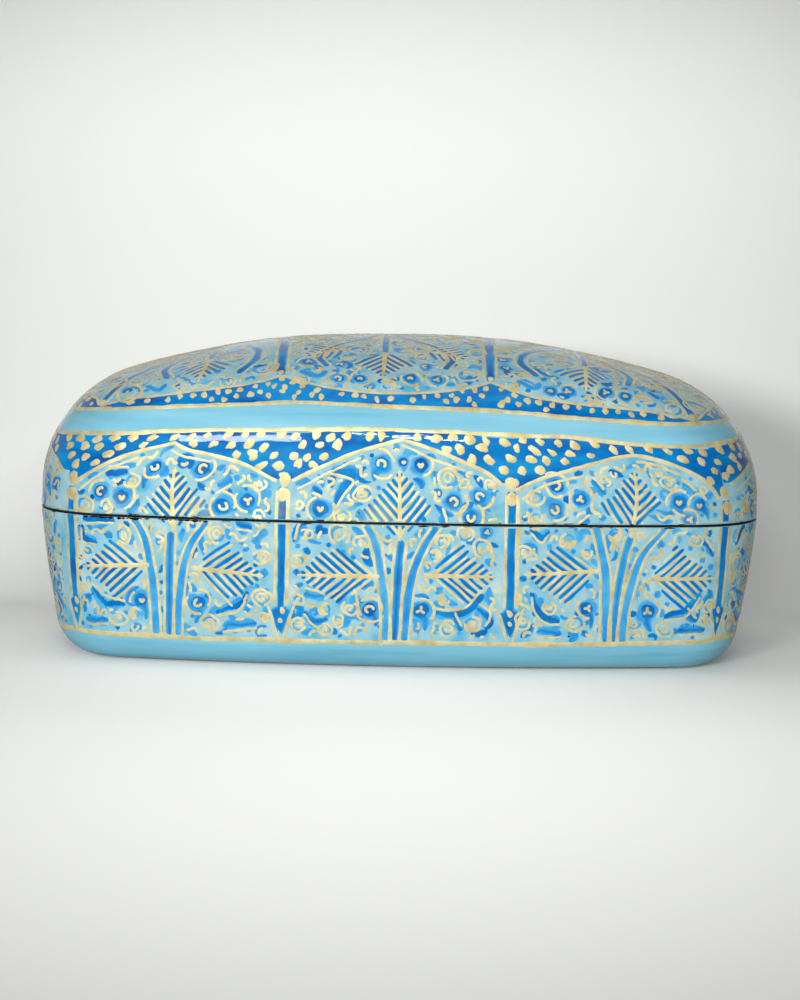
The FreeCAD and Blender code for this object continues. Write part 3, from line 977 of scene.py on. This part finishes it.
def side_panel(seed, x0, panel, way, stretch):
    """Arch, plant, flowers and filigree of one panel, laid out wider where the panel is a wide one."""
    draw = np.random.default_rng(seed)
    place = side_place(x0, way)
    bottom = -plain(foot_line, x0)

    def wide(knots):
        return [(k[0] * stretch, *k[1:]) for k in knots]

    field = Field()
    arches = [wide(half_arch) for half_arch in panel["arch"]]
    for half_arch in arches:
        gild(place, [(a, b, 0.62) for a, b in half_arch], 0.16)
        field.take_line(half_arch, 1.1)
        under = [(a * 0.95, b - draw.uniform(1.8, 2.6), 0.42) for a, b in half_arch[:3]]
        gild(place, under, 0.3)
        field.take_line(under, 0.5)
    low_u, high_u = arches[0][0][0], arches[1][-1][0]
    for u in (low_u - 0.2, high_u + 0.2):
        field.take_line([(u, bottom), (u, 12.0)], 1.0)
    field.take_line([(low_u, bottom), (high_u, bottom)], 1.1)
    for strength, half, knots in panel["stems"]:
        lay("blue", place, [(a, b, half * 1.15) for a, b in knots], strength * 0.78, 0.12)
        field.take_line(knots, half + 0.6)
        for side in (-1, 1):
            edge = [(a + side * (half + 0.3) + draw.normal(0, 0.12), b, 0.44) for a, b in knots]
            gild(place, edge, 0.14)
    leaf(place, field, *panel["upright"], math.radians(40), draw)
    for stem, tip, sides in panel["sideways"]:
        shift = (stretch - 1) * (stem[0] + tip[0]) / 2
        moved = [(a + shift, b) for a, b in (stem, tip, *sides)]
        leaf(place, field, moved[0], moved[1], moved[2:], math.radians(41), draw)
        if stretch > 1:
            lay("blue", place, [(stem[0], stem[1], 1.0), (stem[0] + shift, stem[1], 0.7)], 0.75)
    for u, v, radius, *tail in panel["flowers"]:
        far = (stretch - 1) * u if abs(u) > 12 else 0.0
        flower(place, field, u + far, v, radius, draw, (tail[0] + far, tail[1]) if tail else None)
    for strength, half, knots in panel["blues"]:
        line = wide(knots)
        swell = [0.55, *[1.0] * (len(line) - 2), 0.6] if len(line) > 2 else [1.0, 0.7]
        lay("blue", place, [(a, b, half * s + 0.7) for (a, b), s in zip(line, swell)], 0.5, 0.7)
        lay("blue", place, [(a, b, half * s) for (a, b), s in zip(line, swell)], strength * 1.1, 0.7)
        side = draw.choice([-1, 1]) * (half + 0.5)
        edge = [(a, b + side * s, 0.45) for (a, b), s in zip(line, swell)]
        gild(place, edge, 0.3)
        field.take_line(edge, 0.5)
        field.take_line(line, half * 0.7)
    for u, v, radius in panel["roses"]:
        room = field.room(u * stretch, v)
        if room > radius * 0.4:
            rose(place, field, u * stretch, v, min(max(room, radius * 1.1), radius * 1.45), draw)

    line = arches[0] + arches[1][1:]
    line_u, line_v = [k[0] for k in line], [k[1] for k in line]

    def inside(u, v):
        clear = low_u + 1 < u < high_u - 1 and abs(v) > 1.1 and v > bottom + 1.0
        return clear and v < np.interp(u, line_u, line_v, 4.0, 4.0) - 1.0

    filigree(place, field, inside, (low_u, bottom, high_u, 25.0), draw, int(150 * stretch))


# Outline of a column's vase, from its left corner, its lip first
VASE_U = np.array([-3.6, -1.9, 0.0, 1.9, 3.6, 2.5, 1.2, 0.1, -1.1, -2.4])
VASE_V = np.array([0.6, 2.2, 1.6, 2.2, 0.6, -3.4, -7.4, -9.6, -7.4, -3.4])


def column(x, spring, draw):
    """Blue column with gold edges, gold dabs for its capital, and a pointed vase for its foot."""
    place = side_place(x)
    neck = 11.5 - plain(foot_line, x)
    shaft = [(0.0, spring - 2.0, 1.5), (draw.normal(0, 0.1), 0.0, 1.6), (0.0, neck - 1.0, 1.5)]
    lay("blue", place, shaft, 1.0, 0.1, 0.8, True)
    for side, half in ((-1, 0.5), (1, 0.68)):
        edge = ((1.75, spring - 3.0), (1.8, 0.5), (1.85, -14.0), (1.8, neck))
        gild(place, [(side * u, v, half) for u, v in edge], 0.12)
    for v, radius, stretch in ((spring + 0.6, 2.1, 0.92), (spring - 4.2, 2.0, 0.84)):
        blob("gold", place, draw.normal(0, 0.12), v, radius, draw, 0.24, stretch)
    dab("blue", place, 0.0, neck - 2.2, VASE_U, VASE_V)
    gild(place, [(-4.0, neck - 0.2, 0.45), (-2.3, neck - 5.2, 0.5), (-0.7, neck - 11.2, 0.45)])
    gild(place, [(4.2, neck + 0.4, 0.45), (2.5, neck - 4.8, 0.5), (0.8, neck - 11.2, 0.45)])
    for v, radius in ((neck - 1.6, 1.15), (neck - 4.8, 0.85)):
        blob("gold", place, draw.normal(0, 0.2), v, radius, draw, 0.35, 0.85, 0.5)


def all_arches(x):
    """Lower edge of the cobalt ground over all the side panels."""
    x = np.mod(np.asarray(x, float), AROUND)
    out, best = np.zeros_like(x), np.full_like(x, 1e9)
    for (x0, panel, way, _, _), stretch in zip(PANELS, STRETCHES):
        line = panel["arch"][0] + panel["arch"][1][1:]
        away = (np.mod(x - x0 + BACK, AROUND) - BACK) * way / stretch
        beyond = np.maximum(line[0][0] - away, away - line[-1][0]) * stretch
        value = np.interp(away, [k[0] for k in line], [k[1] for k in line])
        out, best = np.where(beyond < best, value, out), np.minimum(best, beyond)
    return out


for index, (x0, panel, way, edge, spring) in enumerate(PANELS):
    side_panel(100 + index, x0, panel, way, STRETCHES[index])
    column(edge, spring, np.random.default_rng(300 + index))


# Columns of the cobalt ground, and how far it stands out between its sunken edges
COBALT_COLUMNS, COBALT_LIFT, COBALT_SUNK = 1204, 0.03, 0.02


def cobalt(name, low, high, rows, material):
    """Cobalt ground between two lines round the lid."""
    n = COBALT_COLUMNS
    x = np.arange(n) * AROUND / n
    a, b = low(x), high(x)
    points, normals = [], []
    for j in range(rows + 1):
        p, q = lid_skin.at(x, a + (b - a) * j / rows)
        points.append(p + q * (COBALT_LIFT if 0 < j < rows else -COBALT_SUNK))
        normals.append(q)
    i = np.arange(n)
    k = (i + 1) % n
    faces = []
    for j in range(rows):
        ring, above = j * n, (j + 1) * n
        faces.extend(np.stack([ring + i, ring + k, above + k, above + i], axis=1).tolist())
    return new_mesh(name, np.concatenate(points), faces, [material], np.concatenate(normals))


def dots(low, high, pitch, rise, radius, seed):
    """Uneven rows of gold dabs on the cobalt ground, hung from its upper line."""
    draw = np.random.default_rng(seed)
    count = int(AROUND / pitch)
    for row in range(8):
        for k in range(count):
            x = (k + 0.5 * (row % 2)) * AROUND / count + draw.normal(0, pitch * 0.09)
            v = plain(high, x) - radius * 1.3 - row * rise + draw.normal(0, rise * 0.13)
            if v < plain(low, x) + radius + 0.2 or draw.uniform() < 0.03:
                continue
            size, lean = radius * draw.uniform(0.84, 1.14), draw.uniform(-0.5, 0.5)
            blob("gold", as_it_is, x, v, size, draw, 0.42, draw.uniform(0.92, 1.16), lean, sides=13)


dots(all_arches, low_w, 5.9, 3.15, 1.62, 41)

# Distance from the band up to the scalloped edge of the top's cobalt strip, at places round the box
SCALLOPS = [
    (-109, 0.8), (-101, 4.0), (-90, 4.8), (-75, 5.8), (-62, 7.2), (-53, 9.0), (-47.5, 11.4), (-41, 8.6),
    (-31, 6.2), (-18, 4.9), (-8, 4.6), (4, 5.0), (17, 6.4), (28, 8.6), (34.2, 11.2), (41, 8.2), (51, 5.8),
    (63, 5.0), (78, 4.6), (91, 4.2), (99, 3.0), (105, 0.8),
]
END_SCALLOPS = [(112, 4.4), (124, 7.2), (138, 4.8), (151, 4.2), (164, 4.8), (178, 7.2), (190, 4.4)]
top_edge = around_line(
    SCALLOPS + END_SCALLOPS
    + [(BACK - a, b) for a, b in SCALLOPS]
    + [(AROUND - a, b) for a, b in END_SCALLOPS],
    7,
)


def top_line(x):
    return high_w(x) + top_edge(x)


dots(lambda x: high_w(x) + 0.2, lambda x: top_line(x) - 0.2, 4.7, 2.6, 1.2, 43)

# Panels on top: first and last place along the band
TOP_PANELS = (
    (-47.5, 34.2), (34.2, 105.0), (105.0, BACK - 105.0), (BACK - 105.0, BACK - 34.2),
    (BACK - 34.2, BACK + 47.5), (BACK + 47.5, BACK + 109.0), (BACK + 109.0, AROUND - 109.0),
    (AROUND - 109.0, AROUND - 47.5),
)
# A top panel's outer stems, its flowers, and its blue strokes with how much paint they carry.
# Here v is the distance from the ridge. Two more flowers sit by the leaf.
TOP_STEMS = (
    [(-1.6, 0.8), (-4.5, 8), (-10.5, 17), (-17.0, 24), (-22.0, 33), (-19.0, 41)],
    [(1.6, 0.8), (4.5, 8), (10.5, 17), (17.0, 24), (22.0, 33), (19.5, 41)],
)
TOP_FLOWERS = (
    (-25.5, 37.5, 2.3), (-18.4, 38.0, 2.4), (-22.6, 31.5, 2.2), (23.5, 36.0, 2.4), (29.5, 38.0, 2.2),
    (25.0, 30.5, 2.0), (-8.5, 18.0, 2.3), (9.0, 18.5, 2.2),
)
LATER_TOP_FLOWERS = (
    (-15.0, 48.0, 2.2), (17.0, 47.0, 2.2), (-12.5, 6.5, 2.0), (12.0, 6.0, 2.0),
    (30.0, 24.0, 2.3), (-30.0, 23.0, 2.3),
)
TOP_BLUES = (
    (1.0, [(-8.0, 40.0), (-13.0, 42.5), (-16.0, 46.5)]),
    (1.0, [(11.0, 39.0), (18.5, 42.0), (21.0, 47.5), (14.0, 51.0)]),
    (0.7, [(-28.0, 44.0), (-22.0, 47.0), (-19.0, 44.0)]), (0.8, [(27.0, 43.0), (31.0, 46.5)]),
)


def top_panel(seed, first, last):
    """Stems from the ridge, leaves, flowers and filigree of one panel, and the bar at its end."""
    draw = np.random.default_rng(seed)
    x0, half = (first + last) / 2, (last - first) / 2
    place = top_place(x0)
    column_w, wide = wideness(x0)
    ridge = column_w[-1]
    depth = ridge - column_w[HIGH_ROW]
    for a, b in ((first + 0.5, x0 + 2), (x0 - 2, last - 0.5)):
        edge = np.linspace(a, b, 13)
        gild(as_it_is, [(x, w, 0.5) for x, w in zip(edge, top_line(edge))], 0.14)

    def half_at(v):
        return half * float(np.interp(ridge - v, column_w, wide))

    def lower(u, v):
        return depth - plain(top_edge, x0 + u / max(half_at(v) / half, 0.12))

    def inside(u, v):
        return v > 1.0 and abs(u) < half_at(v) - 2.8 and v < lower(u, v) - 1.0

    def free(u, v, r):
        within = abs(u) < half_at(v) - 3.2 - r and 1.5 + r < v < lower(u, v) - 1.0 - r
        return within and field.room(u, v) > r * 0.8

    field = Field()
    scale = min(1.0, half_at(depth * 0.62) / 34)
    stem_v = depth * 0.52
    for stem in (TOP_STEMS[0], [(0.0, 0.5), (0.2, 12), (0.0, stem_v - 0.6)], TOP_STEMS[1]):
        knots = [(a * scale, b) for a, b in stem if abs(a * scale) < half_at(b) - 2.4 and b < depth - 8]
        if len(knots) < 2:
            continue
        lay("blue", place, [(a, b, 1.25) for a, b in knots], 1.0, 0.12)
        field.take_line(knots, 1.7)
        for side in (-1, 1):
            gild(place, [(a + side * 1.45, b, 0.42) for a, b in knots], 0.12)
    leaf_half = 11.0 * max(scale, 0.75)
    leaf(
        place, field, (0.0, stem_v), (-0.6, stem_v + 16.5),
        ((-leaf_half, stem_v + 7.6), (leaf_half, stem_v + 7.0)), math.radians(42), draw,
    )
    for side in (-1, 1):
        u, v = side * 12.5 * scale, 27.0
        if half_at(v) - abs(u) > 12:
            tip = (u + side * 14.5, v + 5.5)
            corners = ((u + side * 5.5, v + 9.5), (u + side * 9.5, v - 5.5))
            leaf(place, field, (u, v), tip, corners, math.radians(50), draw, 2.0)
    by_leaf = ((-8.0, stem_v + 17.5, 2.1), (8.4, stem_v + 16.5, 2.3))
    for u, v, r in TOP_FLOWERS + by_leaf + LATER_TOP_FLOWERS:
        if free(u * scale, v, r):
            flower(place, field, u * scale, v, r, draw)
    for strength, knots in TOP_BLUES:
        if all(free(a * scale, b, 0.5) for a, b in knots):
            lay("blue", place, [(a * scale, b, 1.3) for a, b in knots], strength, 0.12)
            field.take_line([(a * scale, b) for a, b in knots], 1.0)
    filigree(place, field, inside, (-half_at(depth), 1.0, half_at(depth), depth - 4), draw, 150)

    # The blue bar between this panel and the next, from the ridge to the strip's tip
    low, high = plain(top_line, last), plain(ridge_w, last)
    bar_w, bar_wide = wideness(last)
    bar = [(last, high - 0.3, 1.5), (last, (low + high) / 2, 1.6), (last, low + 0.4, 1.5)]
    lay("blue", as_it_is, bar, 1.0, 0.1, 0.8, True)
    levels = [high - 0.4 - (high - low - 1.6) * t for t in np.linspace(0, 1, 7)]
    for side in (-1, 1):
        away = [side * 1.95 / max(float(np.interp(w, bar_w, bar_wide)), 0.15) for w in levels]
        gild(as_it_is, [(last + x, w, 0.43) for x, w in zip(away, levels)], 0.06)
    blob("gold", as_it_is, last, low + 1.6, 1.35, draw, 0.3)


for index, (first, last) in enumerate(TOP_PANELS):
    top_panel(500 + index, first, last)


def gold_round(height, half, seed):
    """Gold line right round the box, made of long brush pulls that overlap a little."""
    draw = np.random.default_rng(seed)
    cuts = np.sort(draw.uniform(0, AROUND, 9))
    for a, b in zip(cuts, np.append(cuts[1:], cuts[0] + AROUND)):
        along = np.linspace(a - 0.8, b + 0.8, max(int((b - a) / 9), 3))
        pull = [
            (x, w + draw.normal(0, 0.12), half * draw.uniform(0.85, 1.15))
            for x, w in zip(along, height(along))
        ]
        lay("gold", as_it_is, pull, 1.0, 0.1, 0.9)


gold_round(low_w, 0.66, 61)
gold_round(high_w, 0.74, 62)
gold_round(lambda x: -foot_line(x), 0.85, 63)

# Black chips along the sawn edges: small ones all round, then long ones at the front's left
SMALL_CHIPS, LONG_CHIPS = 81, 29
chips = np.random.default_rng(77)
for k in range(SMALL_CHIPS + LONG_CHIPS):
    x, side, deep = chips.uniform(0, AROUND), chips.choice([-1, 1]), chips.uniform(0.1, 0.26)
    if k >= SMALL_CHIPS:
        x, side, deep = AROUND + chips.uniform(-100, -58), -1, chips.uniform(0.3, 0.55)
    run, level = chips.uniform(0.8, 4.0), side * (RIM + 0.06 + deep * 0.5)
    lay("chip", as_it_is, [(x, level, 0.1), (x + run * 0.4, level, deep), (x + run, level, 0.1)], 1.0, 0.2)


def linear(r, g, b):
    """Colour of a 0 to 255 sRGB triple."""
    shares = [c / 255 for c in (r, g, b)]
    return (*[c / 12.92 if c <= 0.04045 else ((c + 0.055) / 1.055) ** 2.4 for c in shares], 1.0)


def start_material(name):
    """Material, its node tree, its shader, and places in the piece's own metres."""
    material = bpy.data.materials.new(name)
    material.use_nodes = True
    nodes = material.node_tree
    where = nodes.nodes.new("ShaderNodeTexCoord").outputs["Object"]
    return material, nodes, nodes.nodes["Principled BSDF"], where


def fill_in(node, values):
    """Sets sockets of a node, or links them where the value is another node's socket."""
    for name, value in values.items():
        if isinstance(value, (tuple, float)):
            node.inputs[name].default_value = value
        else:
            node.id_data.links.new(value, node.inputs[name])


def noise(nodes, where, scale, detail=3.0, rough=0.55, stretch=None):
    if stretch:
        mapping = nodes.nodes.new("ShaderNodeMapping")
        fill_in(mapping, {"Scale": stretch, "Vector": where})
        where = mapping.outputs["Vector"]
    node = nodes.nodes.new("ShaderNodeTexNoise")
    fill_in(node, {"Scale": float(scale), "Detail": detail, "Roughness": rough, "Vector": where})
    return node.outputs["Fac"]


def ramp(nodes, fac, stops):
    """Colour at a share of the way through stops of place and 0 to 255 sRGB colour."""
    node = nodes.nodes.new("ShaderNodeValToRGB")
    ends = node.color_ramp.elements
    for end, (place, colour) in zip((ends[0], ends[1]), (stops[0], stops[-1])):
        end.position, end.color = place, linear(*colour)
    for place, colour in stops[1:-1]:
        ends.new(place).color = linear(*colour)
    fill_in(node, {"Fac": fac})
    return node.outputs["Color"]


def between(nodes, value, low, high):
    """Share of the way from low to high, eased at both ends."""
    node = nodes.nodes.new("ShaderNodeMapRange")
    node.interpolation_type = "SMOOTHSTEP"
    fill_in(node, {"From Min": low, "From Max": high, "Value": value})
    return node.outputs["Result"]


def maths(nodes, operation, a, b):
    node = nodes.nodes.new("ShaderNodeMath")
    node.operation = operation
    fill_in(node, {0: a, 1: b})
    return node.outputs[0]


def mix(nodes, fac, first, second):
    node = nodes.nodes.new("ShaderNodeMix")
    node.data_type = "RGBA"
    fill_in(node, {"Factor": fac, 6: first, 7: second})
    return node.outputs[2]


# Brushed varnish: scale of its waves and ripples, how they are stretched, and their strength and
# depth in metres
WAVES = (55, 0.55, None, 0.6, 0.0007)
RIPPLES = (300, 0.6, (0.4, 0.4, 1.6), 0.5, 0.000045)


def varnish(nodes, shader, where, coat):
    """Slow waves and fine ripples over whatever paint lies under the varnish."""
    normal = None
    for scale, rough, stretch, strength, depth in (WAVES, RIPPLES):
        bump = nodes.nodes.new("ShaderNodeBump")
        height = noise(nodes, where, scale, 2.0, rough, stretch)
        fill_in(bump, {"Strength": strength, "Distance": depth, "Height": height})
        if normal:
            fill_in(bump, {"Normal": normal})
        normal = bump.outputs["Normal"]
    fill_in(shader, {
        "Normal": normal, "Coat Normal": normal, "Coat Weight": coat, "Coat Roughness": 0.025,
        "Coat IOR": 1.22, "Specular IOR Level": 0.05,
    })


# Heights at which the varnish above the seam starts and ends being yellow, and how yellow it is
YELLOW_LOW, YELLOW_HIGH, YELLOW = (0.0462, 0.0478), (0.0570, 0.0490), 0.2


def yellowed(nodes, where, colour):
    """Varnish gone yellow in patches just over the seam."""
    split = nodes.nodes.new("ShaderNodeSeparateXYZ")
    fill_in(split, {0: where})
    above, below = [between(nodes, split.outputs["Z"], *ends) for ends in (YELLOW_LOW, YELLOW_HIGH)]
    patch = between(nodes, noise(nodes, where, 75, 2.0), 0.52, 0.66)
    near = maths(nodes, "MULTIPLY", maths(nodes, "MULTIPLY", below, above), patch)
    return mix(nodes, maths(nodes, "MULTIPLY", near, YELLOW), colour, linear(196, 200, 60))


def brushed(scale, stops, streak=None, old=False):
    """Colour laid on unevenly, and yellowed near the seam if it is old."""
    def colour(nodes, where):
        plain_colour = ramp(nodes, noise(nodes, where, scale, 3.0, 0.6, streak), stops)
        return yellowed(nodes, where, plain_colour) if old else plain_colour
    return colour


GROUND = ((0.3, (80, 158, 192)), (0.44, (122, 176, 194)), (0.58, (146, 184, 192)), (0.72, (176, 196, 194)))
MIDDLE_BLUE = ((0.3, (18, 128, 196)), (0.7, (76, 164, 208)))
DEEP_BLUE = ((0.3, (0, 80, 150)), (0.52, (0, 108, 176)), (0.72, (2, 138, 196)))
COBALT = ((0.3, (0, 80, 150)), (0.5, (0, 112, 178)), (0.7, (2, 142, 198)))
LIGHT_BLUE = ((0.28, (98, 164, 188)), (0.42, (114, 176, 198)), (0.72, (132, 188, 206)))
GOLD = ((0.3, (186, 168, 114)), (0.5, (204, 191, 142)), (0.72, (218, 208, 166)))


def washed(nodes, where):
    """Blue that lets the ground through where little of it lies."""
    body = nodes.nodes.new("ShaderNodeAttribute")
    body.attribute_name = "body"
    amount = body.outputs["Fac"]
    middle = ramp(nodes, noise(nodes, where, 150), MIDDLE_BLUE)
    deep = ramp(nodes, noise(nodes, where, 110), DEEP_BLUE)
    thin = mix(nodes, between(nodes, amount, 0.06, 0.44), brushed(120, GROUND)(nodes, where), middle)
    return yellowed(nodes, where, mix(nodes, between(nodes, amount, 0.46, 0.86), thin, deep))


def painted(name, colour, roughness=0.5, metallic=0.0, coat=0.8):
    """Material of one paint under the varnish."""
    material, nodes, shader, where = start_material(name)
    fill_in(shader, {"Base Color": colour(nodes, where), "Roughness": roughness, "Metallic": metallic})
    varnish(nodes, shader, where, coat)
    return material


ground = painted("panel_ground", brushed(120, GROUND, old=True))
band = painted("light_blue_band", brushed(60, LIGHT_BLUE, (0.25, 0.25, 3.5)))
blue = painted("blue_paint", washed)
cobalt_paint = painted("cobalt_ground", brushed(90, COBALT, (0.6, 0.6, 1.6)))
gold = painted("gold_paint", brushed(260, GOLD, old=True), 0.55, 0.35, 0.25)
chipped = painted("chipped_edge", brushed(300, ((0.3, (8, 8, 10)), (0.7, (34, 28, 26)))), 0.7, coat=0.3)
black_lacquer = painted(
    "black_lacquer", brushed(50, ((0.3, (12, 12, 14)), (0.7, (30, 28, 30))), (0.3, 1.0, 1.0)), 0.45
)
black_paper = painted(
    "black_paper", brushed(300, ((0.3, (14, 13, 14)), (0.7, (38, 34, 34)))), 0.6, coat=0.15
)
black_card = painted("black_card", brushed(180, ((0.3, (20, 18, 20)), (0.7, (44, 40, 42)))), 0.55, coat=0.3)

lid_inside = lid_grid(LID_WALL, (12, 3, 20))[0][::2]
base_inside = base_grid(BASE_WALL, (12, 5, 8))[0][::2]
lid_piece = shell(
    "lid_painted_shell", lid_skin, lid_inside, [ground, band, black_lacquer],
    lambda j: 1 if LOW_ROW <= j < HIGH_ROW else 0, False,
)
base_piece = shell(
    "base_painted_shell", base_skin, base_inside, [ground, band, black_lacquer],
    lambda j: 0 if j < BASE_ROWS[0] else 1 if j < BASE_ROWS[0] + BASE_ROWS[1] else 2, True,
)
side_cobalt = cobalt("lid_cobalt_spandrels", all_arches, low_w, 9, cobalt_paint)
top_cobalt = cobalt("lid_cobalt_top_strip", high_w, top_line, 8, cobalt_paint)

PAINTS = {"blue": (blue, "blue_strokes"), "gold": (gold, "gold_strokes"), "chip": (chipped, "edge_chips")}
pieces = [(lid_piece, "lid"), (side_cobalt, "lid"), (top_cobalt, "lid"), (base_piece, "base")]
for (kind, body, area), layer in inks.items():
    paint, name = PAINTS[kind]
    piece = new_mesh(
        f"{body}_{area}_{name}", np.concatenate(layer.points), layer.faces, [paint],
        np.concatenate(layer.normals), bodies=np.concatenate(layer.bodies) if kind == "blue" else None,
    )
    pieces.append((piece, body))
for piece, body in pieces:
    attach(piece, body)
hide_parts("lid_shell")
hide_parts("base_shell")
for node, material in (
    ("base_rim_edging", black_paper), ("lid_rim_edging", black_paper),
    ("base_sole", black_paper), ("collar", black_card),
):
    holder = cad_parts[node]
    if not holder.data.materials:
        holder.data.materials.append(material)
    for slot in holder.material_slots:
        slot.material = material

# Studio: sweep colours, lit middle to painted shade at the edge; where its floor ends and rises in an arc
# to its wall
SWEEP_LIT_MIDDLE, SWEEP_SHADED_EDGE = (233, 234, 230), (182, 183, 181)
SWEEP_HALF, SWEEP_FRONT, SWEEP_BEND, SWEEP_RADIUS, SWEEP_TOP = 4.0, -4.0, 0.075, 0.06, 3.0

# How painted shade darkens the sweep sideways, forwards from a line before the box and upwards from a
# height
FALL_ACROSS, FALL_AHEAD, FALL_ABOVE, FALL_SPAN = 0.19, 0.27, 0.08, 1.6
FALL_FRONT, FALL_HEIGHT = -0.12, 0.15

# How much glow the camera alone sees on the floor before the box, and on the whole sweep
FLOOR_LIFT, WALL_LIFT = 0.34, 0.08


def sweep_material():
    """Pale sweep with painted shade that darkens it away from the box, and lets the view through from
    behind it.
    """
    material, nodes, shader, where = start_material("pale_sweep")

    def sum_of(a, b):
        return maths(nodes, "ADD", a, b)

    def product(a, b):
        return maths(nodes, "MULTIPLY", a, b)

    def most(a, b):
        return maths(nodes, "MAXIMUM", a, b)

    def fall_over(value, span):
        return maths(nodes, "POWER", maths(nodes, "DIVIDE", value, span), 2.0)

    split = nodes.nodes.new("ShaderNodeSeparateXYZ")
    fill_in(split, {0: where})
    x, y, z = split.outputs
    nearer = most(maths(nodes, "SUBTRACT", FALL_FRONT, y), 0.0)
    higher = most(maths(nodes, "SUBTRACT", z, FALL_HEIGHT), 0.0)
    ahead_and_above = sum_of(fall_over(nearer, FALL_AHEAD), fall_over(higher, FALL_ABOVE))
    fall = maths(nodes, "DIVIDE", sum_of(fall_over(x, FALL_ACROSS), ahead_and_above), FALL_SPAN)
    # Painted shade: the sweep's colour darkens away from its lit middle, a painted pool of light round the
    # box
    colour = ramp(nodes, fall, [(0.0, SWEEP_LIT_MIDDLE), (1.0, SWEEP_SHADED_EDGE)])

    # Seen by the camera, the floor before the box is as pale as the wall, which faces the lamps
    path = nodes.nodes.new("ShaderNodeLightPath").outputs
    before = product(between(nodes, sum_of(y, product(x, 0.35)), 0.09, -0.12), FLOOR_LIFT)
    level = product(sum_of(before, WALL_LIFT), maths(nodes, "SUBTRACT", 1.0, fall))
    level = most(product(path["Is Camera Ray"], level), 0.0)
    fill_in(shader, {
        "Base Color": colour, "Roughness": 0.95, "Specular IOR Level": 0.0,
        "Emission Color": colour, "Emission Strength": level,
    })

    # The wall stands close behind, so light from behind it still reaches the box
    past = product(most(path["Is Shadow Ray"], path["Is Diffuse Ray"]), between(nodes, z, 0.02, 0.05))
    behind = nodes.nodes.new("ShaderNodeNewGeometry").outputs["Backfacing"]
    clear = nodes.nodes.new("ShaderNodeBsdfTransparent").outputs["BSDF"]
    either = nodes.nodes.new("ShaderNodeMixShader")
    fill_in(either, {"Fac": most(behind, past), 1: shader.outputs["BSDF"], 2: clear})
    fill_in(nodes.nodes["Material Output"], {"Surface": either.outputs["Shader"]})
    return material


outline = [(SWEEP_FRONT, 0.0), (-0.5, 0.0)]
for turn in np.linspace(0, math.pi / 2, 25):
    outline.append((SWEEP_BEND + SWEEP_RADIUS * math.sin(turn), SWEEP_RADIUS * (1 - math.cos(turn))))
outline.append((SWEEP_BEND + SWEEP_RADIUS, SWEEP_TOP))
sweep_points = [(x, y, z) for y, z in outline for x in (-SWEEP_HALF, SWEEP_HALF)]
sweep_faces = [(2 * k, 2 * k + 1, 2 * k + 3, 2 * k + 2) for k in range(len(outline) - 1)]
sweep_mesh = bpy.data.meshes.new("sweep")
sweep_mesh.from_pydata(sweep_points, [], sweep_faces)
sweep_mesh.polygons.foreach_set("use_smooth", np.ones(len(sweep_faces), bool))
sweep_mesh.materials.append(sweep_material())
sweep = bpy.data.objects.new("sweep", sweep_mesh)
bpy.context.scene.collection.objects.link(sweep)


def lamp(name, place, target, power, width, height):
    """Soft rectangular lamp at a place, turned to its target."""
    data = bpy.data.lights.new(name, "AREA")
    data.shape, data.size, data.size_y = "RECTANGLE", width, height
    data.energy = power
    thing = bpy.data.objects.new(name, data)
    thing.location = place
    thing.rotation_euler = (Vector(target) - Vector(place)).to_track_quat("-Z", "Y").to_euler()
    bpy.context.scene.collection.objects.link(thing)


lamp("flash", (-0.34, -1.12, 0.26), (0, 0, 0.05), 9.4, 0.26, 0.16)
lamp("front_fill", (0.1, -1.55, 0.62), (0, 0, 0.04), 1.6, 1.3, 0.8)
lamp("top_fill", (-0.1, -0.1, 1.4), (0, 0, 0), 4.2, 1.2, 1.0)
lamp("back_fill", (0.2, 1.3, 1.0), (0, 0, 0.05), 4.5, 1.2, 0.8)
# Small lamps whose reflections break up in the varnish over the arches
lamp("catch", (-0.03, -1.0, 0.35), (0, 0, 0.07), 2.2, 0.15, 0.02)
lamp("glint", (0.08, -1.0, 0.3), (0, 0, 0.07), 1.3, 0.11, 0.02)

# The world gives little light, and looks pale to the camera
WORLD_LIGHT, WORLD_SEEN = 0.12, 0.6
world = bpy.data.worlds.new("studio")
bpy.context.scene.world = world
world.use_nodes = True
nodes = world.node_tree
seen = nodes.nodes.new("ShaderNodeLightPath").outputs["Is Camera Ray"]
strength = maths(nodes, "ADD", maths(nodes, "MULTIPLY", seen, WORLD_SEEN), WORLD_LIGHT)
fill_in(nodes.nodes["Background"], {"Color": linear(228, 229, 228), "Strength": strength})

# Camera: fitted to the box in the photograph
ELEVATION, ROLL, DISTANCE, LENS = math.radians(6.716), math.radians(1.077), 1.0, 111.4
AIM = Vector((0.000184, 0.0, 0.04815))
camera_data = bpy.data.cameras.new("camera")
camera_data.sensor_width, camera_data.lens = 36, LENS
camera_data.clip_start, camera_data.clip_end = 0.01, 50
camera = bpy.data.objects.new("camera", camera_data)
back = Vector((0, -math.cos(ELEVATION), math.sin(ELEVATION)))
camera.location = AIM + back * DISTANCE
camera.rotation_mode = "QUATERNION"
camera.rotation_quaternion = (-back).to_track_quat("-Z", "Y") @ Quaternion((0, 0, 1), ROLL)
bpy.context.scene.collection.objects.link(camera)
bpy.context.scene.camera = camera
bpy.context.scene.view_settings.view_transform = "Standard"
